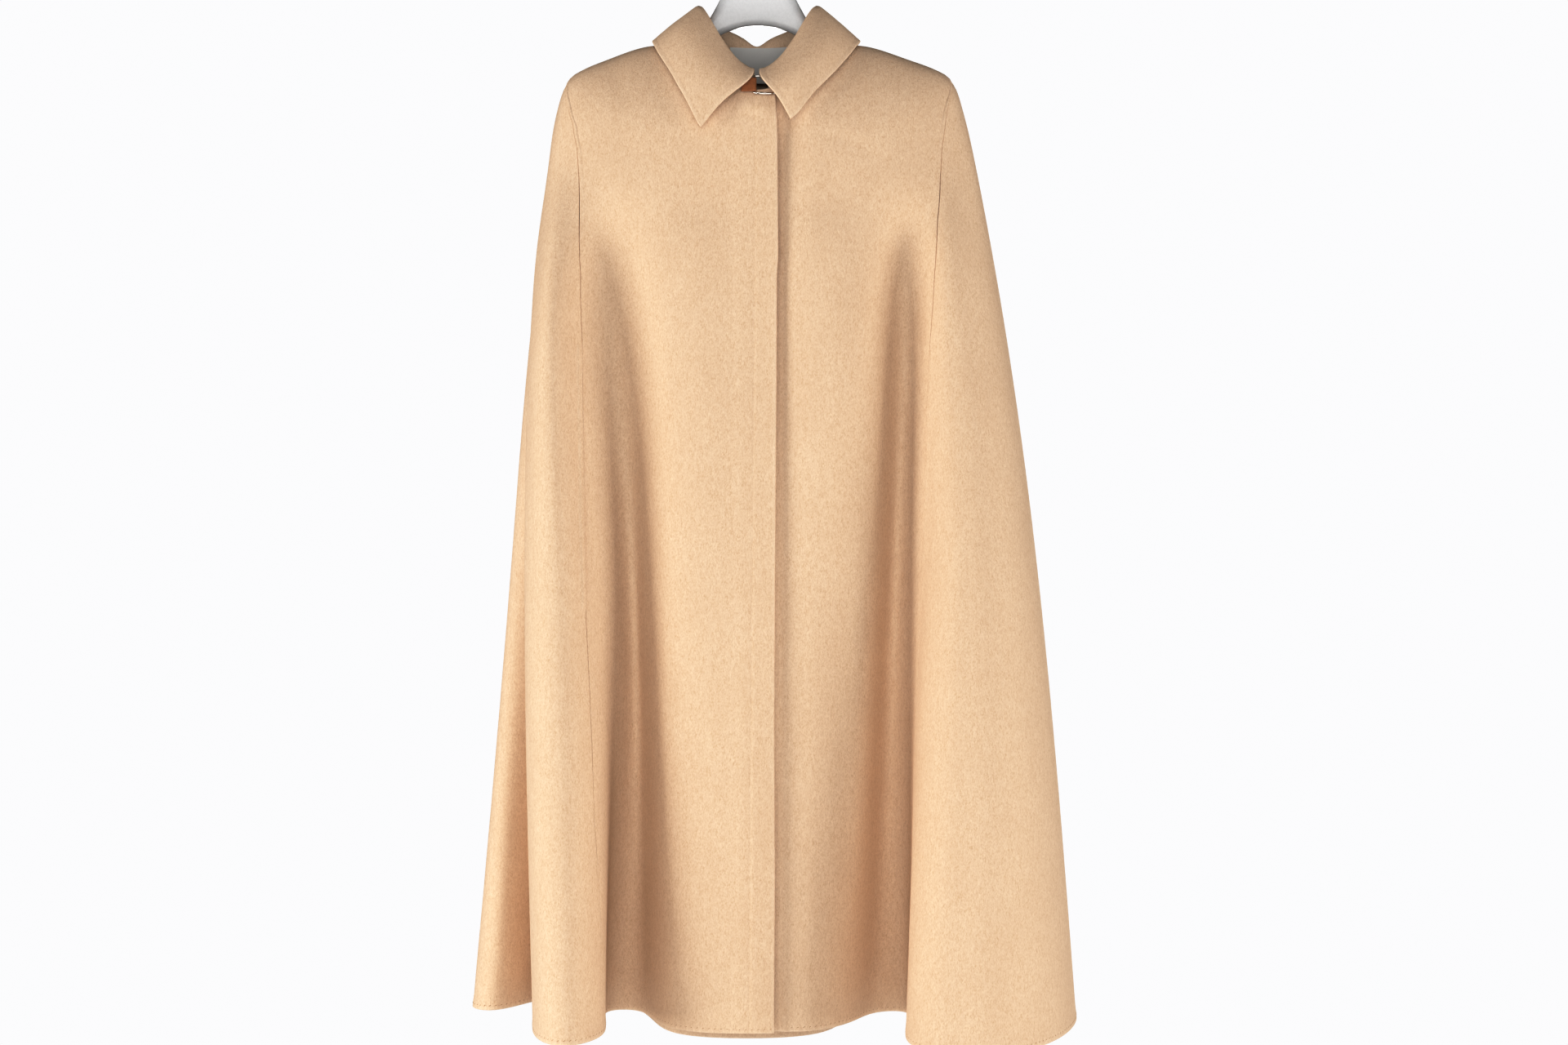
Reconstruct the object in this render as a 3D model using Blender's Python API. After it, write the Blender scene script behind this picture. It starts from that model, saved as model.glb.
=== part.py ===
"""Full-length wool cape with a shirt collar and a ring closure at the neck, on a moulded hanger.

Metres, +Z up. The origin is inside the crown of the hanger's hook, where a rail carries it.
The closed front faces -Y, and the wearer's right is at -X.
The cape is one surface round the body, cut into a left and right front, two side gores and a back.
A place on it is given by its turn (the number of a fold line, counted round from the centre front
towards +X) and its reach (the distance down the cloth from the neck seam).
"""
import math

import bmesh
import bpy
import numpy as np

CLOTH = 0.0022
COLLAR_CLOTH = 0.0030
SEAM_GAP = 0.0003
SAME = 1e-6
SHARP_ANGLE = 40

# Rings round the shoulders, each an oval of four half widths that dips to the front and the back
RING_COLUMNS = (
    "name", "reach", "left", "right", "front", "back", "side_z", "front_z", "back_z", "squareness",
)
SHOULDER_RINGS = (
    ("neck", 0.000, 0.069, 0.069, 0.0545, 0.045, -0.1635, -0.2345, -0.183, 2.0),
    ("base", 0.009, 0.076, 0.076, 0.0570, 0.051, -0.1700, -0.2430, -0.190, 2.0),
    ("yoke", 0.050, 0.112, 0.110, 0.0585, 0.060, -0.1785, -0.2600, -0.222, 2.2),
    ("shoulder", 0.100, 0.160, 0.160, 0.0590, 0.064, -0.1940, -0.2780, -0.250, 2.4),
    ("tip", 0.140, 0.196, 0.200, 0.0595, 0.066, -0.2140, -0.2980, -0.275, 2.6),
    ("arm", 0.168, 0.208, 0.212, 0.0600, 0.067, -0.2400, -0.3150, -0.295, 2.6),
    ("upper", 0.230, 0.218, 0.226, 0.0610, 0.068, -0.3000, -0.3500, -0.340, 2.5),
)

# Fold lines down the cloth, in order round the body: the angle on the shoulder rings, then the
# place at the chest, at the waist and at the hem
FOLD_COLUMNS = ("name", "angle", "chest_x", "chest_y", "waist_x", "waist_y", "hem_x", "hem_y", "hem_z")
FOLDS = (
    ("centre front", 2, 0.010, -0.062, 0.010, -0.068, 0.010, -0.075, -1.190),
    ("right of centre", 16, 0.075, -0.064, 0.078, -0.064, 0.066, -0.058, -1.190),
    ("right slope", 27, 0.124, -0.049, 0.121, -0.049, 0.099, -0.020, -1.190),
    ("right valley", 36, 0.153, -0.038, 0.144, -0.018, 0.127, 0.020, -1.190),
    ("right front seam", 47, 0.180, -0.050, 0.165, -0.044, 0.155, 0.018, -1.190),
    ("right flute inner", 54, 0.196, -0.055, 0.179, -0.074, 0.150, -0.100, -1.192),
    ("right flute crest", 63, 0.214, -0.045, 0.208, -0.098, 0.195, -0.150, -1.194),
    ("right flute outer", 75, 0.233, -0.027, 0.256, -0.075, 0.275, -0.120, -1.194),
    ("right side", 90, 0.243, 0.005, 0.285, -0.005, 0.331, -0.005, -1.192),
    ("right side back", 106, 0.236, 0.038, 0.272, 0.050, 0.318, 0.080, -1.194),
    ("right back seam", 122, 0.205, 0.058, 0.230, 0.085, 0.255, 0.135, -1.198),
    ("right back flute", 136, 0.165, 0.068, 0.170, 0.100, 0.178, 0.150, -1.202),
    ("right back slope", 150, 0.115, 0.070, 0.112, 0.075, 0.105, 0.085, -1.206),
    ("right back valley", 162, 0.070, 0.068, 0.068, 0.045, 0.065, 0.015, -1.210),
    ("centre back", 180, -0.005, 0.068, -0.008, 0.036, -0.012, -0.002, -1.212),
    ("left back valley", 198, -0.075, 0.068, -0.080, 0.045, -0.088, 0.015, -1.210),
    ("left back slope", 210, -0.118, 0.070, -0.118, 0.078, -0.122, 0.085, -1.206),
    ("left back flute", 224, -0.160, 0.067, -0.168, 0.102, -0.180, 0.148, -1.202),
    ("left back seam", 238, -0.196, 0.056, -0.215, 0.086, -0.248, 0.120, -1.198),
    ("left side flute", 250, -0.222, 0.035, -0.257, 0.052, -0.306, 0.065, -1.193),
    ("left side front", 261, -0.228, 0.012, -0.252, 0.025, -0.278, 0.030, -1.190),
    ("left side valley", 270, -0.229, -0.008, -0.234, 0.010, -0.236, 0.075, -1.190),
    ("left flute outer", 283, -0.224, -0.028, -0.238, -0.045, -0.228, -0.060, -1.190),
    ("left flute crest", 297, -0.207, -0.054, -0.205, -0.087, -0.190, -0.128, -1.190),
    ("left front seam", 313, -0.180, -0.048, -0.171, -0.058, -0.155, -0.078, -1.190),
    ("left valley", 323, -0.157, -0.040, -0.150, -0.034, -0.157, 0.024, -1.190),
    ("left slope", 332, -0.131, -0.046, -0.132, -0.015, -0.127, 0.026, -1.190),
    ("left of centre", 344, -0.078, -0.063, -0.090, -0.061, -0.086, -0.054, -1.190),
)
FOLD_COUNT = len(FOLDS)
CHEST_REACH, CHEST_Z = 0.315, -0.385
WAIST_REACH, WAIST_Z = 0.605, -0.675
HEM_REACH = 1.120
RIGHT_SIDE, LEFT_SIDE = 8, 21

# The middle of the front lies within this many turns of its centre line
FRONT_TURNS = 2.5

# Rows of the cloth down from the neck seam, close together over the shoulder
GORE_TOP = 0.132
REACHES = (
    0.0, 0.009, 0.028, 0.050, 0.075, 0.100, 0.118, GORE_TOP, 0.146, 0.160, 0.176, 0.200, 0.235,
    0.290, 0.360, 0.440, 0.530, 0.630, 0.740, 0.860, 0.990, HEM_REACH,
)

# Where each long seam runs: its turn at a reach down the cloth
SEAM_COLUMNS = ("reach", "right_front", "right_back", "left_back", "left_front")
SEAMS = (
    (GORE_TOP, 7.95, 8.05, 20.95, 21.05),
    (0.146, 7.35, 8.55, 20.40, 21.60),
    (0.160, 6.25, 9.00, 19.80, 22.50),
    (0.176, 5.74, 9.40, 19.30, 23.10),
    (0.200, 5.15, 9.70, 18.80, 23.41),
    (0.235, 4.67, 9.90, 18.40, 23.58),
    (0.290, 4.23, 10.00, 18.10, 23.83),
    (0.360, 4.03, 10.00, 18.00, 24.12),
    (0.430, 3.95, 10.00, 18.00, 24.20),
    (0.500, 4.00, 10.00, 18.00, 24.07),
    (0.600, 4.22, 10.00, 18.00, 23.86),
    (0.700, 4.42, 10.00, 18.00, 23.74),
    (0.900, 4.50, 10.00, 18.00, 23.78),
    (HEM_REACH, 4.50, 10.00, 18.00, 24.12),
)

# Columns of each cut piece, crowded towards the closing edge on the underlying front
FRONT_RIGHT_COLUMNS, FRONT_LEFT_COLUMNS, FRONT_LEFT_CROWDING = 15, 18, 1.35
BACK_COLUMNS, SIDE_LEFT_COLUMNS, SIDE_RIGHT_COLUMNS = 25, 17, 19

# Arm slits: the front seams are left open here, with the edges just parted
SLIT_TOP, SLIT_BOTTOM = 0.435, 0.690
SLIT_PARTING = 0.0011

# Front closing: the wearer's right front lies over the left one and has a thicker edge
CLOSING_X = 0.0188
UNDERLAP = 0.045
PLACKET_WIDTH, PLACKET_FADE = 0.034, 0.012
PLACKET_EXTRA = 0.0018
PLACKET_LIFT = 0.0008
# The underlying front lies sunk behind the closing edge, deeper below the neck, and comes up to
# the cape's surface within a spread that widens down to the shoulder
UNDERLAP_SINK = 0.0040
SINK_STARTS = 0.0040
SPREAD_AT_NECK, SPREAD_MORE, SPREAD_REACH = 0.018, 0.022, 0.10
NECK_SINK = 0.0016
NECK_SINK_STARTS, NECK_SINK_FULL = 0.004, 0.030
NECK_SINK_FADES, NECK_SINK_ENDS = 0.06, 0.24

# Collar stations, from the viewer's left point round the back to the right one: the angle of the
# neck seam and of the fold, the turn, reach and height over the cloth of the outer edge, and how
# far the leaf swells between the fold and that edge
COLLAR_COLUMNS = ("name", "seam_angle", "fold_angle", "turn", "reach", "height", "swell")
COLLAR = (
    ("left front edge", -4.5, -3, -0.96, 0.108, 0.0085, 0.0085),
    ("left leaf front", -22, -21, -1.80, 0.080, 0.0085, 0.0085),
    ("left leaf middle", -42, -41, -3.14, 0.062, 0.0070, 0.0080),
    ("left leaf rear", -64, -63, -4.45, 0.053, 0.0045, 0.0055),
    ("left shoulder", -88, -88, -6.40, 0.048, 0.0020, 0.0012),
    ("left back", -116, -116, -8.80, 0.044, 0.0020, 0.0015),
    ("left back middle", -148, -148, -11.50, 0.040, 0.0020, 0.0040),
    ("centre back", -180, -180, -14.00, 0.038, 0.0020, 0.0050),
    ("right back middle", -212, -212, -16.50, 0.040, 0.0020, 0.0040),
    ("right back", -244, -244, -19.00, 0.043, 0.0020, 0.0015),
    ("right shoulder", -272, -272, -20.60, 0.046, 0.0020, 0.0012),
    ("right leaf rear", -296, -297, -23.10, 0.046, 0.0045, 0.0055),
    ("right leaf middle", -318, -319, -24.80, 0.046, 0.0070, 0.0080),
    ("right leaf front", -338, -339, -26.28, 0.054, 0.0085, 0.0085),
    ("right front edge", -351, -358.5, -27.38, 0.082, 0.0085, 0.0085),
)
COLLAR_SEAM = 0.0010
FOLD_SIDE, FOLD_FRONT, FOLD_BACK = 0.0615, 0.0460, 0.0420
FOLD_SIDE_Z, FOLD_FRONT_DROP, FOLD_BACK_DROP = -0.1385, 0.0740, 0.0235
FRONT_DROP_POWER = 2.6
BACK_NOTCH, BACK_NOTCH_WIDTH, BACK_NOTCH_X = 0.0090, 0.0120, -0.0020
STAND_RISE, STAND_LEAN, STAND_DROP = 0.0060, 0.0035, 0.0060
ROLL_OUT, ROLL_DROP = 0.0060, 0.0030
COLLAR_SECTIONS, COLLAR_STEPS = 36, 13
# Degrees, turns and metres brought to like sizes, for one smooth line through the stations
STATION_SCALE = np.array([1, 1, 12, 200, 200, 200])

# Ring and leather tabs on the neck, in a leaning frame that follows the neck seam
THROAT_Z = -0.2294
THROAT_ROUND, THROAT_FRONT = 0.3000, 0.0568
THROAT_LEAN = 0.45
RING_LEFT, RING_RIGHT = -0.0035, 0.0195
RING_HALF_HEIGHT, RING_BOW, RING_CORNER, RING_WIRE = 0.0102, 0.0007, 0.0016, 0.0010
CORNER_STEPS, WIRE_SIDES = 3, 8
LEATHER = 0.0013
TAB_LENGTH, TAB_HALF_WIDTH = 0.013, 0.0074
TAB_CLOSED, TAB_NECK, TAB_NECK_OPENS = 0.009, 0.005, 1.2
TAB_BEND_START, TAB_BEND_STEPS = 115, 8

# Blank label, sewn along its top edge inside the back of the neck
LABEL_HALF_WIDTH, LABEL_ROUND, LABEL_THICKNESS = 0.030, 0.090, 0.0006
LABEL_TOP_Y, LABEL_TOP_Z = 0.0353, -0.1725
LABEL_BOTTOM_Y, LABEL_BOTTOM_Z = 0.0465, -0.2080
LABEL_COLUMNS, LABEL_ROWS = 7, 4

# Hanger: rows from the middle out, each the top, the bottom and half the depth at one width
HANGER_COLUMNS = ("name", "x", "top", "bottom", "half_depth")
HANGER_BELL = (
    ("middle", 0.0000, -0.0790, -0.1565, 0.0100),
    ("shoulder of bell", 0.0165, -0.0835, -0.1580, 0.0100),
    ("upper flank", 0.0280, -0.1040, -0.1615, 0.0100),
    ("flank", 0.0394, -0.1300, -0.1665, 0.0100),
    ("lower flank", 0.0496, -0.1490, -0.1740, 0.0100),
    ("foot of bell", 0.0680, -0.1725, -0.1850, 0.0095),
)
ARM_XS = (0.078, 0.087, 0.098, 0.115, 0.138, 0.162, 0.180)
ARM_CLEARANCE = 0.0014
ARM_DEPTH_START, ARM_DEPTH_END = 0.0105, 0.0130
ARM_HEIGHT_START, ARM_HEIGHT_END = 0.0170, 0.0130
HANGER_SIDES = 16

# How far down the shoulder line the hanger's arms are fitted
SHOULDER_LENGTH, SHOULDER_SAMPLES = 0.16, 81

HOOK_WIRE = 0.0019
HOOK_INSIDE = 0.0235
HOOK_FOOT, HOOK_STEM = -0.0785, 0.010
HOOK_SHOULDER_X, HOOK_SHOULDER_Z = 0.004, -0.0555
HOOK_START, HOOK_END, HOOK_TURN_STEP = -35, 199, 18
HOOK_POINTS = 28


def bends_through(knots, values, closed):
    """Second derivatives of the smooth cubic that runs through the values at the knots."""
    count = len(values)
    steps = np.diff(knots)
    matrix = np.eye(count)
    target = np.zeros_like(values)
    for i in range(count):
        if not closed and i in (0, count - 1):
            continue
        before, after = steps[i - 1], steps[i]
        matrix[i, i] = 2 * (before + after)
        matrix[i, i - 1] += before
        matrix[i, (i + 1) % count] += after
        rise = (values[(i + 1) % count] - values[i]) / after
        target[i] = 6 * (rise - (values[i] - values[i - 1]) / before)
    return np.linalg.solve(matrix, target)


def cubic(start, end, start_bend, end_bend, step, share):
    """The point a share of the way along one piece of a smooth cubic."""
    rest = 1 - share
    bend = (rest ** 3 - rest) * start_bend + (share ** 3 - share) * end_bend
    return rest * start + share * end + step * step / 6 * bend


def smooth_line(points, count):
    """Evenly shared points on a smooth open curve through the given ones."""
    points = np.asarray(points, float)
    knots = np.concatenate([[0], np.cumsum(np.linalg.norm(np.diff(points, axis=0), axis=1))])
    bends = bends_through(knots, points, False)
    places = np.linspace(0, knots[-1], count)
    i = np.clip(np.searchsorted(knots, places, side="right") - 1, 0, len(points) - 2)
    step = (knots[i + 1] - knots[i])[:, None]
    share = (places - knots[i])[:, None] / step
    return cubic(points[i], points[i + 1], bends[i], bends[i + 1], step, share)


def oval(angles, ring):
    """Points of one shoulder ring at angles counted from the centre front towards +X."""
    sine, cosine = np.sin(angles), np.cos(angles)
    power = 2 / ring["squareness"]
    half_width = np.where(sine > 0, ring["right"], ring["left"])
    half_depth = np.where(cosine > 0, ring["front"], ring["back"])
    dip = np.where(cosine > 0, ring["front_z"], ring["back_z"]) - ring["side_z"]
    x = half_width * np.sign(sine) * np.abs(sine) ** power
    y = -half_depth * np.sign(cosine) * np.abs(cosine) ** power
    return np.stack([x, y, ring["side_z"] + dip * cosine ** 2], -1)


def named(columns, row):
    return dict(zip(columns, row))


def cape_rings():
    """Each ring of the cape as its reach, its knots, its points and its bends."""
    folds = [named(FOLD_COLUMNS, row) for row in FOLDS]
    angles = np.radians([fold["angle"] for fold in folds])
    rings = []
    for row in SHOULDER_RINGS:
        ring = named(RING_COLUMNS, row)
        rings.append((ring["reach"], oval(angles, ring)))
    chest = [(fold["chest_x"], fold["chest_y"], CHEST_Z) for fold in folds]
    waist = [(fold["waist_x"], fold["waist_y"], WAIST_Z) for fold in folds]
    hem = [(fold["hem_x"], fold["hem_y"], fold["hem_z"]) for fold in folds]
    rings.append((CHEST_REACH, np.array(chest)))
    rings.append((WAIST_REACH, np.array(waist)))
    rings.append((HEM_REACH, np.array(hem)))
    fitted = []
    for reach, points in rings:
        loop = np.vstack([points, points[:1]])
        spans = np.sqrt(np.linalg.norm(np.diff(loop, axis=0), axis=1))
        knots = np.concatenate([[0], np.cumsum(spans)])
        fitted.append((reach, knots, points, bends_through(knots, points, True)))
    return fitted


CAPE_RINGS = cape_rings()
RING_REACHES = np.array([ring[0] for ring in CAPE_RINGS])
REACH_NUDGE, TURN_NUDGE = 0.0005, 0.01


def cape(turn, reach):
    """Points of the cape's outer face at arrays of turns and reaches of one shape."""
    turn, reach = np.broadcast_arrays(np.asarray(turn, float), np.asarray(reach, float))
    shape = turn.shape
    flat_turn = turn.ravel() % FOLD_COUNT
    flat_reach = reach.ravel()
    i = np.floor(flat_turn).astype(int) % FOLD_COUNT
    after = (i + 1) % FOLD_COUNT
    share = (flat_turn % 1)[:, None]
    columns = []
    for _, knots, points, bends in CAPE_RINGS:
        step = (knots[i + 1] - knots[i])[:, None]
        columns.append(cubic(points[i], points[after], bends[i], bends[after], step, share))
    columns = np.stack(columns)
    count = len(columns)
    bends = bends_through(RING_REACHES, columns.reshape(count, -1), False).reshape(columns.shape)
    k = np.clip(np.searchsorted(RING_REACHES, flat_reach, side="right") - 1, 0, count - 2)
    each = np.arange(len(flat_reach))
    step = (RING_REACHES[k + 1] - RING_REACHES[k])[:, None]
    share = (flat_reach - RING_REACHES[k])[:, None] / step
    found = cubic(columns[k, each], columns[k + 1, each], bends[k, each], bends[k + 1, each], step, share)
    return found.reshape(shape + (3,))


def cape_down(turn, reach):
    """Unit vectors down the cloth."""
    run = cape(turn, reach + REACH_NUDGE) - cape(turn, reach - REACH_NUDGE)
    return run / np.linalg.norm(run, axis=-1, keepdims=True)


def cape_across(turn, reach):
    """Vectors round the cloth for one whole turn step."""
    return (cape(turn + TURN_NUDGE, reach) - cape(turn - TURN_NUDGE, reach)) / (2 * TURN_NUDGE)


def cape_outward(turn, reach):
    """Unit vectors square to the cloth, pointing out of the body."""
    square = np.cross(cape_down(turn, reach), cape_across(turn, reach))
    return square / np.linalg.norm(square, axis=-1, keepdims=True)


def ramp(value, start, end):
    """0 before start, 1 after end, and smooth between."""
    share = np.clip((value - start) / (end - start), 0, 1)
    return share * share * (3 - 2 * share)


def seam_turn(column, reach):
    """The turn of a long seam, and of the shoulder seam above the side gore."""
    reaches = [row[0] for row in SEAMS]
    turns = [row[SEAM_COLUMNS.index(column)] for row in SEAMS]
    shoulder = RIGHT_SIDE if column.startswith("right") else LEFT_SIDE
    return np.where(reach < GORE_TOP - SAME, shoulder, np.interp(reach, reaches, turns))


def slit(reach):
    """How far each edge stands back from the seam line: a hair at a sewn seam, more at the slit."""
    middle = (SLIT_TOP + SLIT_BOTTOM) / 2
    half = (SLIT_BOTTOM - SLIT_TOP) / 2
    bow = np.clip(1 - ((reach - middle) / half) ** 2, 0, None)
    return SLIT_PARTING * np.sqrt(bow)


def pulled_back(turn, reach, inside, parting):
    """A seam's turn moved to one side of it, by half the seam gap and the parting."""
    width = np.linalg.norm(cape_across(turn, reach), axis=-1)
    return turn + inside * (SEAM_GAP / 2 + parting) / width


def turn_at_x(x, reach):
    """The turn on the front where the cloth crosses the upright line at x."""
    tries = np.linspace(-FRONT_TURNS, FRONT_TURNS, 101)
    return np.array([np.interp(x, cape(tries, np.full(101, r))[:, 0], tries) for r in reach])


def closed_wall(name, outer, inner, material):
    """One closed body between two grids of points, as a smooth-shaded object."""
    rows, columns = outer.shape[:2]
    mesh = bpy.data.meshes.new(name)
    bm = bmesh.new()
    grids = []
    for grid in (outer, inner):
        grids.append([[bm.verts.new(point) for point in row] for row in grid.tolist()])
    front, back = grids
    for r in range(rows - 1):
        for c in range(columns - 1):
            bm.faces.new((front[r][c], front[r + 1][c], front[r + 1][c + 1], front[r][c + 1]))
            bm.faces.new((back[r][c], back[r][c + 1], back[r + 1][c + 1], back[r + 1][c]))
    for r in range(rows - 1):
        bm.faces.new((front[r][0], back[r][0], back[r + 1][0], front[r + 1][0]))
        bm.faces.new((front[r][-1], front[r + 1][-1], back[r + 1][-1], back[r][-1]))
    for c in range(columns - 1):
        bm.faces.new((front[0][c], front[0][c + 1], back[0][c + 1], back[0][c]))
        bm.faces.new((front[-1][c], back[-1][c], back[-1][c + 1], front[-1][c + 1]))
    finish_mesh(bm, mesh)
    return add_object(name, mesh, material)


def finish_mesh(bm, mesh):
    bmesh.ops.recalc_face_normals(bm, faces=bm.faces)
    bm.to_mesh(mesh)
    bm.free()
    mesh.shade_smooth()
    mesh.set_sharp_from_angle(angle=math.radians(SHARP_ANGLE))


def add_object(name, mesh, material):
    obj = bpy.data.objects.new(name, mesh)
    mesh.materials.append(material)
    bpy.context.scene.collection.objects.link(obj)
    return obj


def make_material(name, colour, roughness, metallic=0.0):
    material = bpy.data.materials.new(name)
    material.use_nodes = True
    shader = material.node_tree.nodes["Principled BSDF"]
    shader.inputs["Base Color"].default_value = (*colour, 1)
    shader.inputs["Roughness"].default_value = roughness
    shader.inputs["Metallic"].default_value = metallic
    material.diffuse_color = (*colour, 1)
    return material


def panel(name, first, last, reach, columns, material, lift=None, thickness=None, crowding=1.0):
    """A cut piece of the cape between two lines of turns, one value of each for every row."""
    across = np.linspace(0, 1, columns) ** crowding
    turns = first[:, None] + (last - first)[:, None] * across
    reaches = np.repeat(reach[:, None], columns, axis=1)
    points = cape(turns, reaches)
    outward = cape_outward(turns, reaches)
    raised = np.zeros_like(turns) if lift is None else lift(points[..., 0], reaches)
    depth = np.full_like(turns, CLOTH) if thickness is None else thickness(points[..., 0])
    outer = points + outward * raised[..., None]
    inner = outer - outward * depth[..., None]
    return closed_wall(name, outer, inner, material)


def placket(x):
    """1 on the thicker edge of the overlapping front, 0 away from it."""
    return ramp(x, CLOSING_X - PLACKET_WIDTH - PLACKET_FADE, CLOSING_X - PLACKET_WIDTH)


def underlap_sink(x, reach):
    """How far the underlying front lies behind the cape's own surface near the closing edge."""
    spread = SPREAD_AT_NECK + SPREAD_MORE * ramp(reach, 0.0, SPREAD_REACH)
    below_neck = ramp(reach, NECK_SINK_STARTS, NECK_SINK_FULL)
    depth = UNDERLAP_SINK + NECK_SINK * below_neck * (1 - ramp(reach, NECK_SINK_FADES, NECK_SINK_ENDS))
    return -depth * (1 - ramp(x, CLOSING_X + SINK_STARTS, CLOSING_X + spread))


def build_panels(wool):
    reach = np.array(REACHES)
    parting = slit(reach)
    closing = turn_at_x(CLOSING_X, reach)
    underlap = turn_at_x(CLOSING_X - UNDERLAP, reach)
    edges = {}
    sides = (("right_front", 1), ("left_front", -1), ("right_back", -1), ("left_back", 1))
    for column, toward_gore in sides:
        turn = seam_turn(column, reach)
        apart = parting if column.endswith("front") else np.zeros_like(reach)
        edges[column, "gore"] = pulled_back(turn, reach, toward_gore, apart)
        edges[column, "panel"] = pulled_back(turn, reach, -toward_gore, apart)
    panel("front_right", edges["left_front", "panel"], closing + FOLD_COUNT, reach,
          FRONT_RIGHT_COLUMNS, wool,
          lift=lambda x, r: PLACKET_LIFT * placket(x),
          thickness=lambda x: CLOTH + PLACKET_EXTRA * placket(x))
    panel("front_left", underlap, edges["right_front", "panel"], reach, FRONT_LEFT_COLUMNS, wool,
          lift=underlap_sink, crowding=FRONT_LEFT_CROWDING)
    panel("back", edges["right_back", "panel"], edges["left_back", "panel"], reach,
          BACK_COLUMNS, wool)
    low = reach > GORE_TOP - SAME
    panel("side_left", edges["right_front", "gore"][low], edges["right_back", "gore"][low],
          reach[low], SIDE_LEFT_COLUMNS, wool)
    panel("side_right", edges["left_back", "gore"][low], edges["left_front", "gore"][low],
          reach[low], SIDE_RIGHT_COLUMNS, wool)


def fold_point(angle):
    """The top of the collar's fold at an angle, with a dip at the centre back."""
    sine, cosine = math.sin(angle), math.cos(angle)
    x = FOLD_SIDE * sine
    if cosine > 0:
        drop = FOLD_FRONT_DROP * cosine ** FRONT_DROP_POWER
        return np.array([x, -FOLD_FRONT * cosine, FOLD_SIDE_Z - drop])
    notch = BACK_NOTCH * math.exp(-((x - BACK_NOTCH_X) / BACK_NOTCH_WIDTH) ** 2)
    return np.array([x, -FOLD_BACK * cosine, FOLD_SIDE_Z - FOLD_BACK_DROP * cosine ** 2 - notch])


def turn_of_angle(angle):
    """The turn of the neck ring at an angle that is counted backwards from the centre front."""
    angles = [fold[1] for fold in FOLDS] + [FOLDS[0][1] + 360]
    return float(np.interp((angle - angles[0]) % 360 + angles[0], angles, range(FOLD_COUNT + 1)))


def collar_section(seam_angle, fold_angle, turn, reach, height, swell):
    """The middle line of the collar from the neck seam over the fold to the outer edge."""
    neck = np.array([turn_of_angle(seam_angle)]), np.array([0.0])
    up = -cape_down(*neck)[0]
    foot = cape(*neck)[0] - cape_outward(*neck)[0] * CLOTH / 2 + up * COLLAR_SEAM
    angle = math.radians(fold_angle)
    out = np.array([math.sin(angle) / FOLD_SIDE, -math.cos(angle) / FOLD_FRONT, 0.0])
    out /= np.linalg.norm(out)
    down = np.array([0.0, 0.0, -1.0])
    top = fold_point(angle)
    place = np.array([turn]), np.array([reach])
    lie = cape_outward(*place)[0]
    edge = cape(*place)[0] + lie * (height + COLLAR_CLOTH / 2)
    stand = foot + up * STAND_RISE
    inside = top - out * STAND_LEAN + down * STAND_DROP
    over = top + out * ROLL_OUT + down * ROLL_DROP
    middle = (over + edge) / 2 + (out + lie) / 2 * swell
    return smooth_line([foot, stand, inside, top, over, middle, edge], COLLAR_STEPS)


def build_collar(wool):
    rows = [named(COLLAR_COLUMNS, row) for row in COLLAR]
    table = np.array([[row[column] for column in COLLAR_COLUMNS[1:]] for row in rows], float)
    stations = smooth_line(table * STATION_SCALE, COLLAR_SECTIONS) / STATION_SCALE
    middle = np.array([collar_section(*station) for station in stations])
    along = np.gradient(middle, axis=0)
    across = np.gradient(middle, axis=1)
    square = np.cross(along, across)
    square /= np.linalg.norm(square, axis=-1, keepdims=True)
    half = square * COLLAR_CLOTH / 2
    closed_wall("collar", middle + half, middle - half, wool)


def throat(sideways, out, down):
    """A point on the neck: sideways round it, out from it and down it, in metres."""
    angle = sideways / THROAT_ROUND
    radius = THROAT_ROUND + out + THROAT_LEAN * down
    y = THROAT_ROUND - THROAT_FRONT - radius * math.cos(angle)
    return np.array([radius * math.sin(angle), y, THROAT_Z - down])


def tube(name, points, radius, sides, closed, material):
    """A round wire along points, closed into a ring or capped at its ends."""
    points = np.asarray(points, float)
    count = len(points)
    if closed:
        runs = np.roll(points, -1, axis=0) - np.roll(points, 1, axis=0)
    else:
        runs = np.gradient(points, axis=0)
    runs /= np.linalg.norm(runs, axis=1, keepdims=True)
    mesh = bpy.data.meshes.new(name)
    bm = bmesh.new()
    rings = []
    for point, run in zip(points, runs):
        side = np.cross(run, (0, 1, 0))
        side /= np.linalg.norm(side)
        other = np.cross(run, side)
        ring = []
        for i in range(sides):
            angle = 2 * math.pi * i / sides
            ring.append(bm.verts.new(point + radius * (math.cos(angle) * side + math.sin(angle) * other)))
        rings.append(ring)
    for r in range(count if closed else count - 1):
        here, there = rings[r], rings[(r + 1) % count]
        for i in range(sides):
            bm.faces.new((here[i], here[(i + 1) % sides], there[(i + 1) % sides], there[i]))
    if not closed:
        bm.faces.new(rings[0])
        bm.faces.new(rings[-1])
    finish_mesh(bm, mesh)
    return add_object(name, mesh, material)


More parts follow.
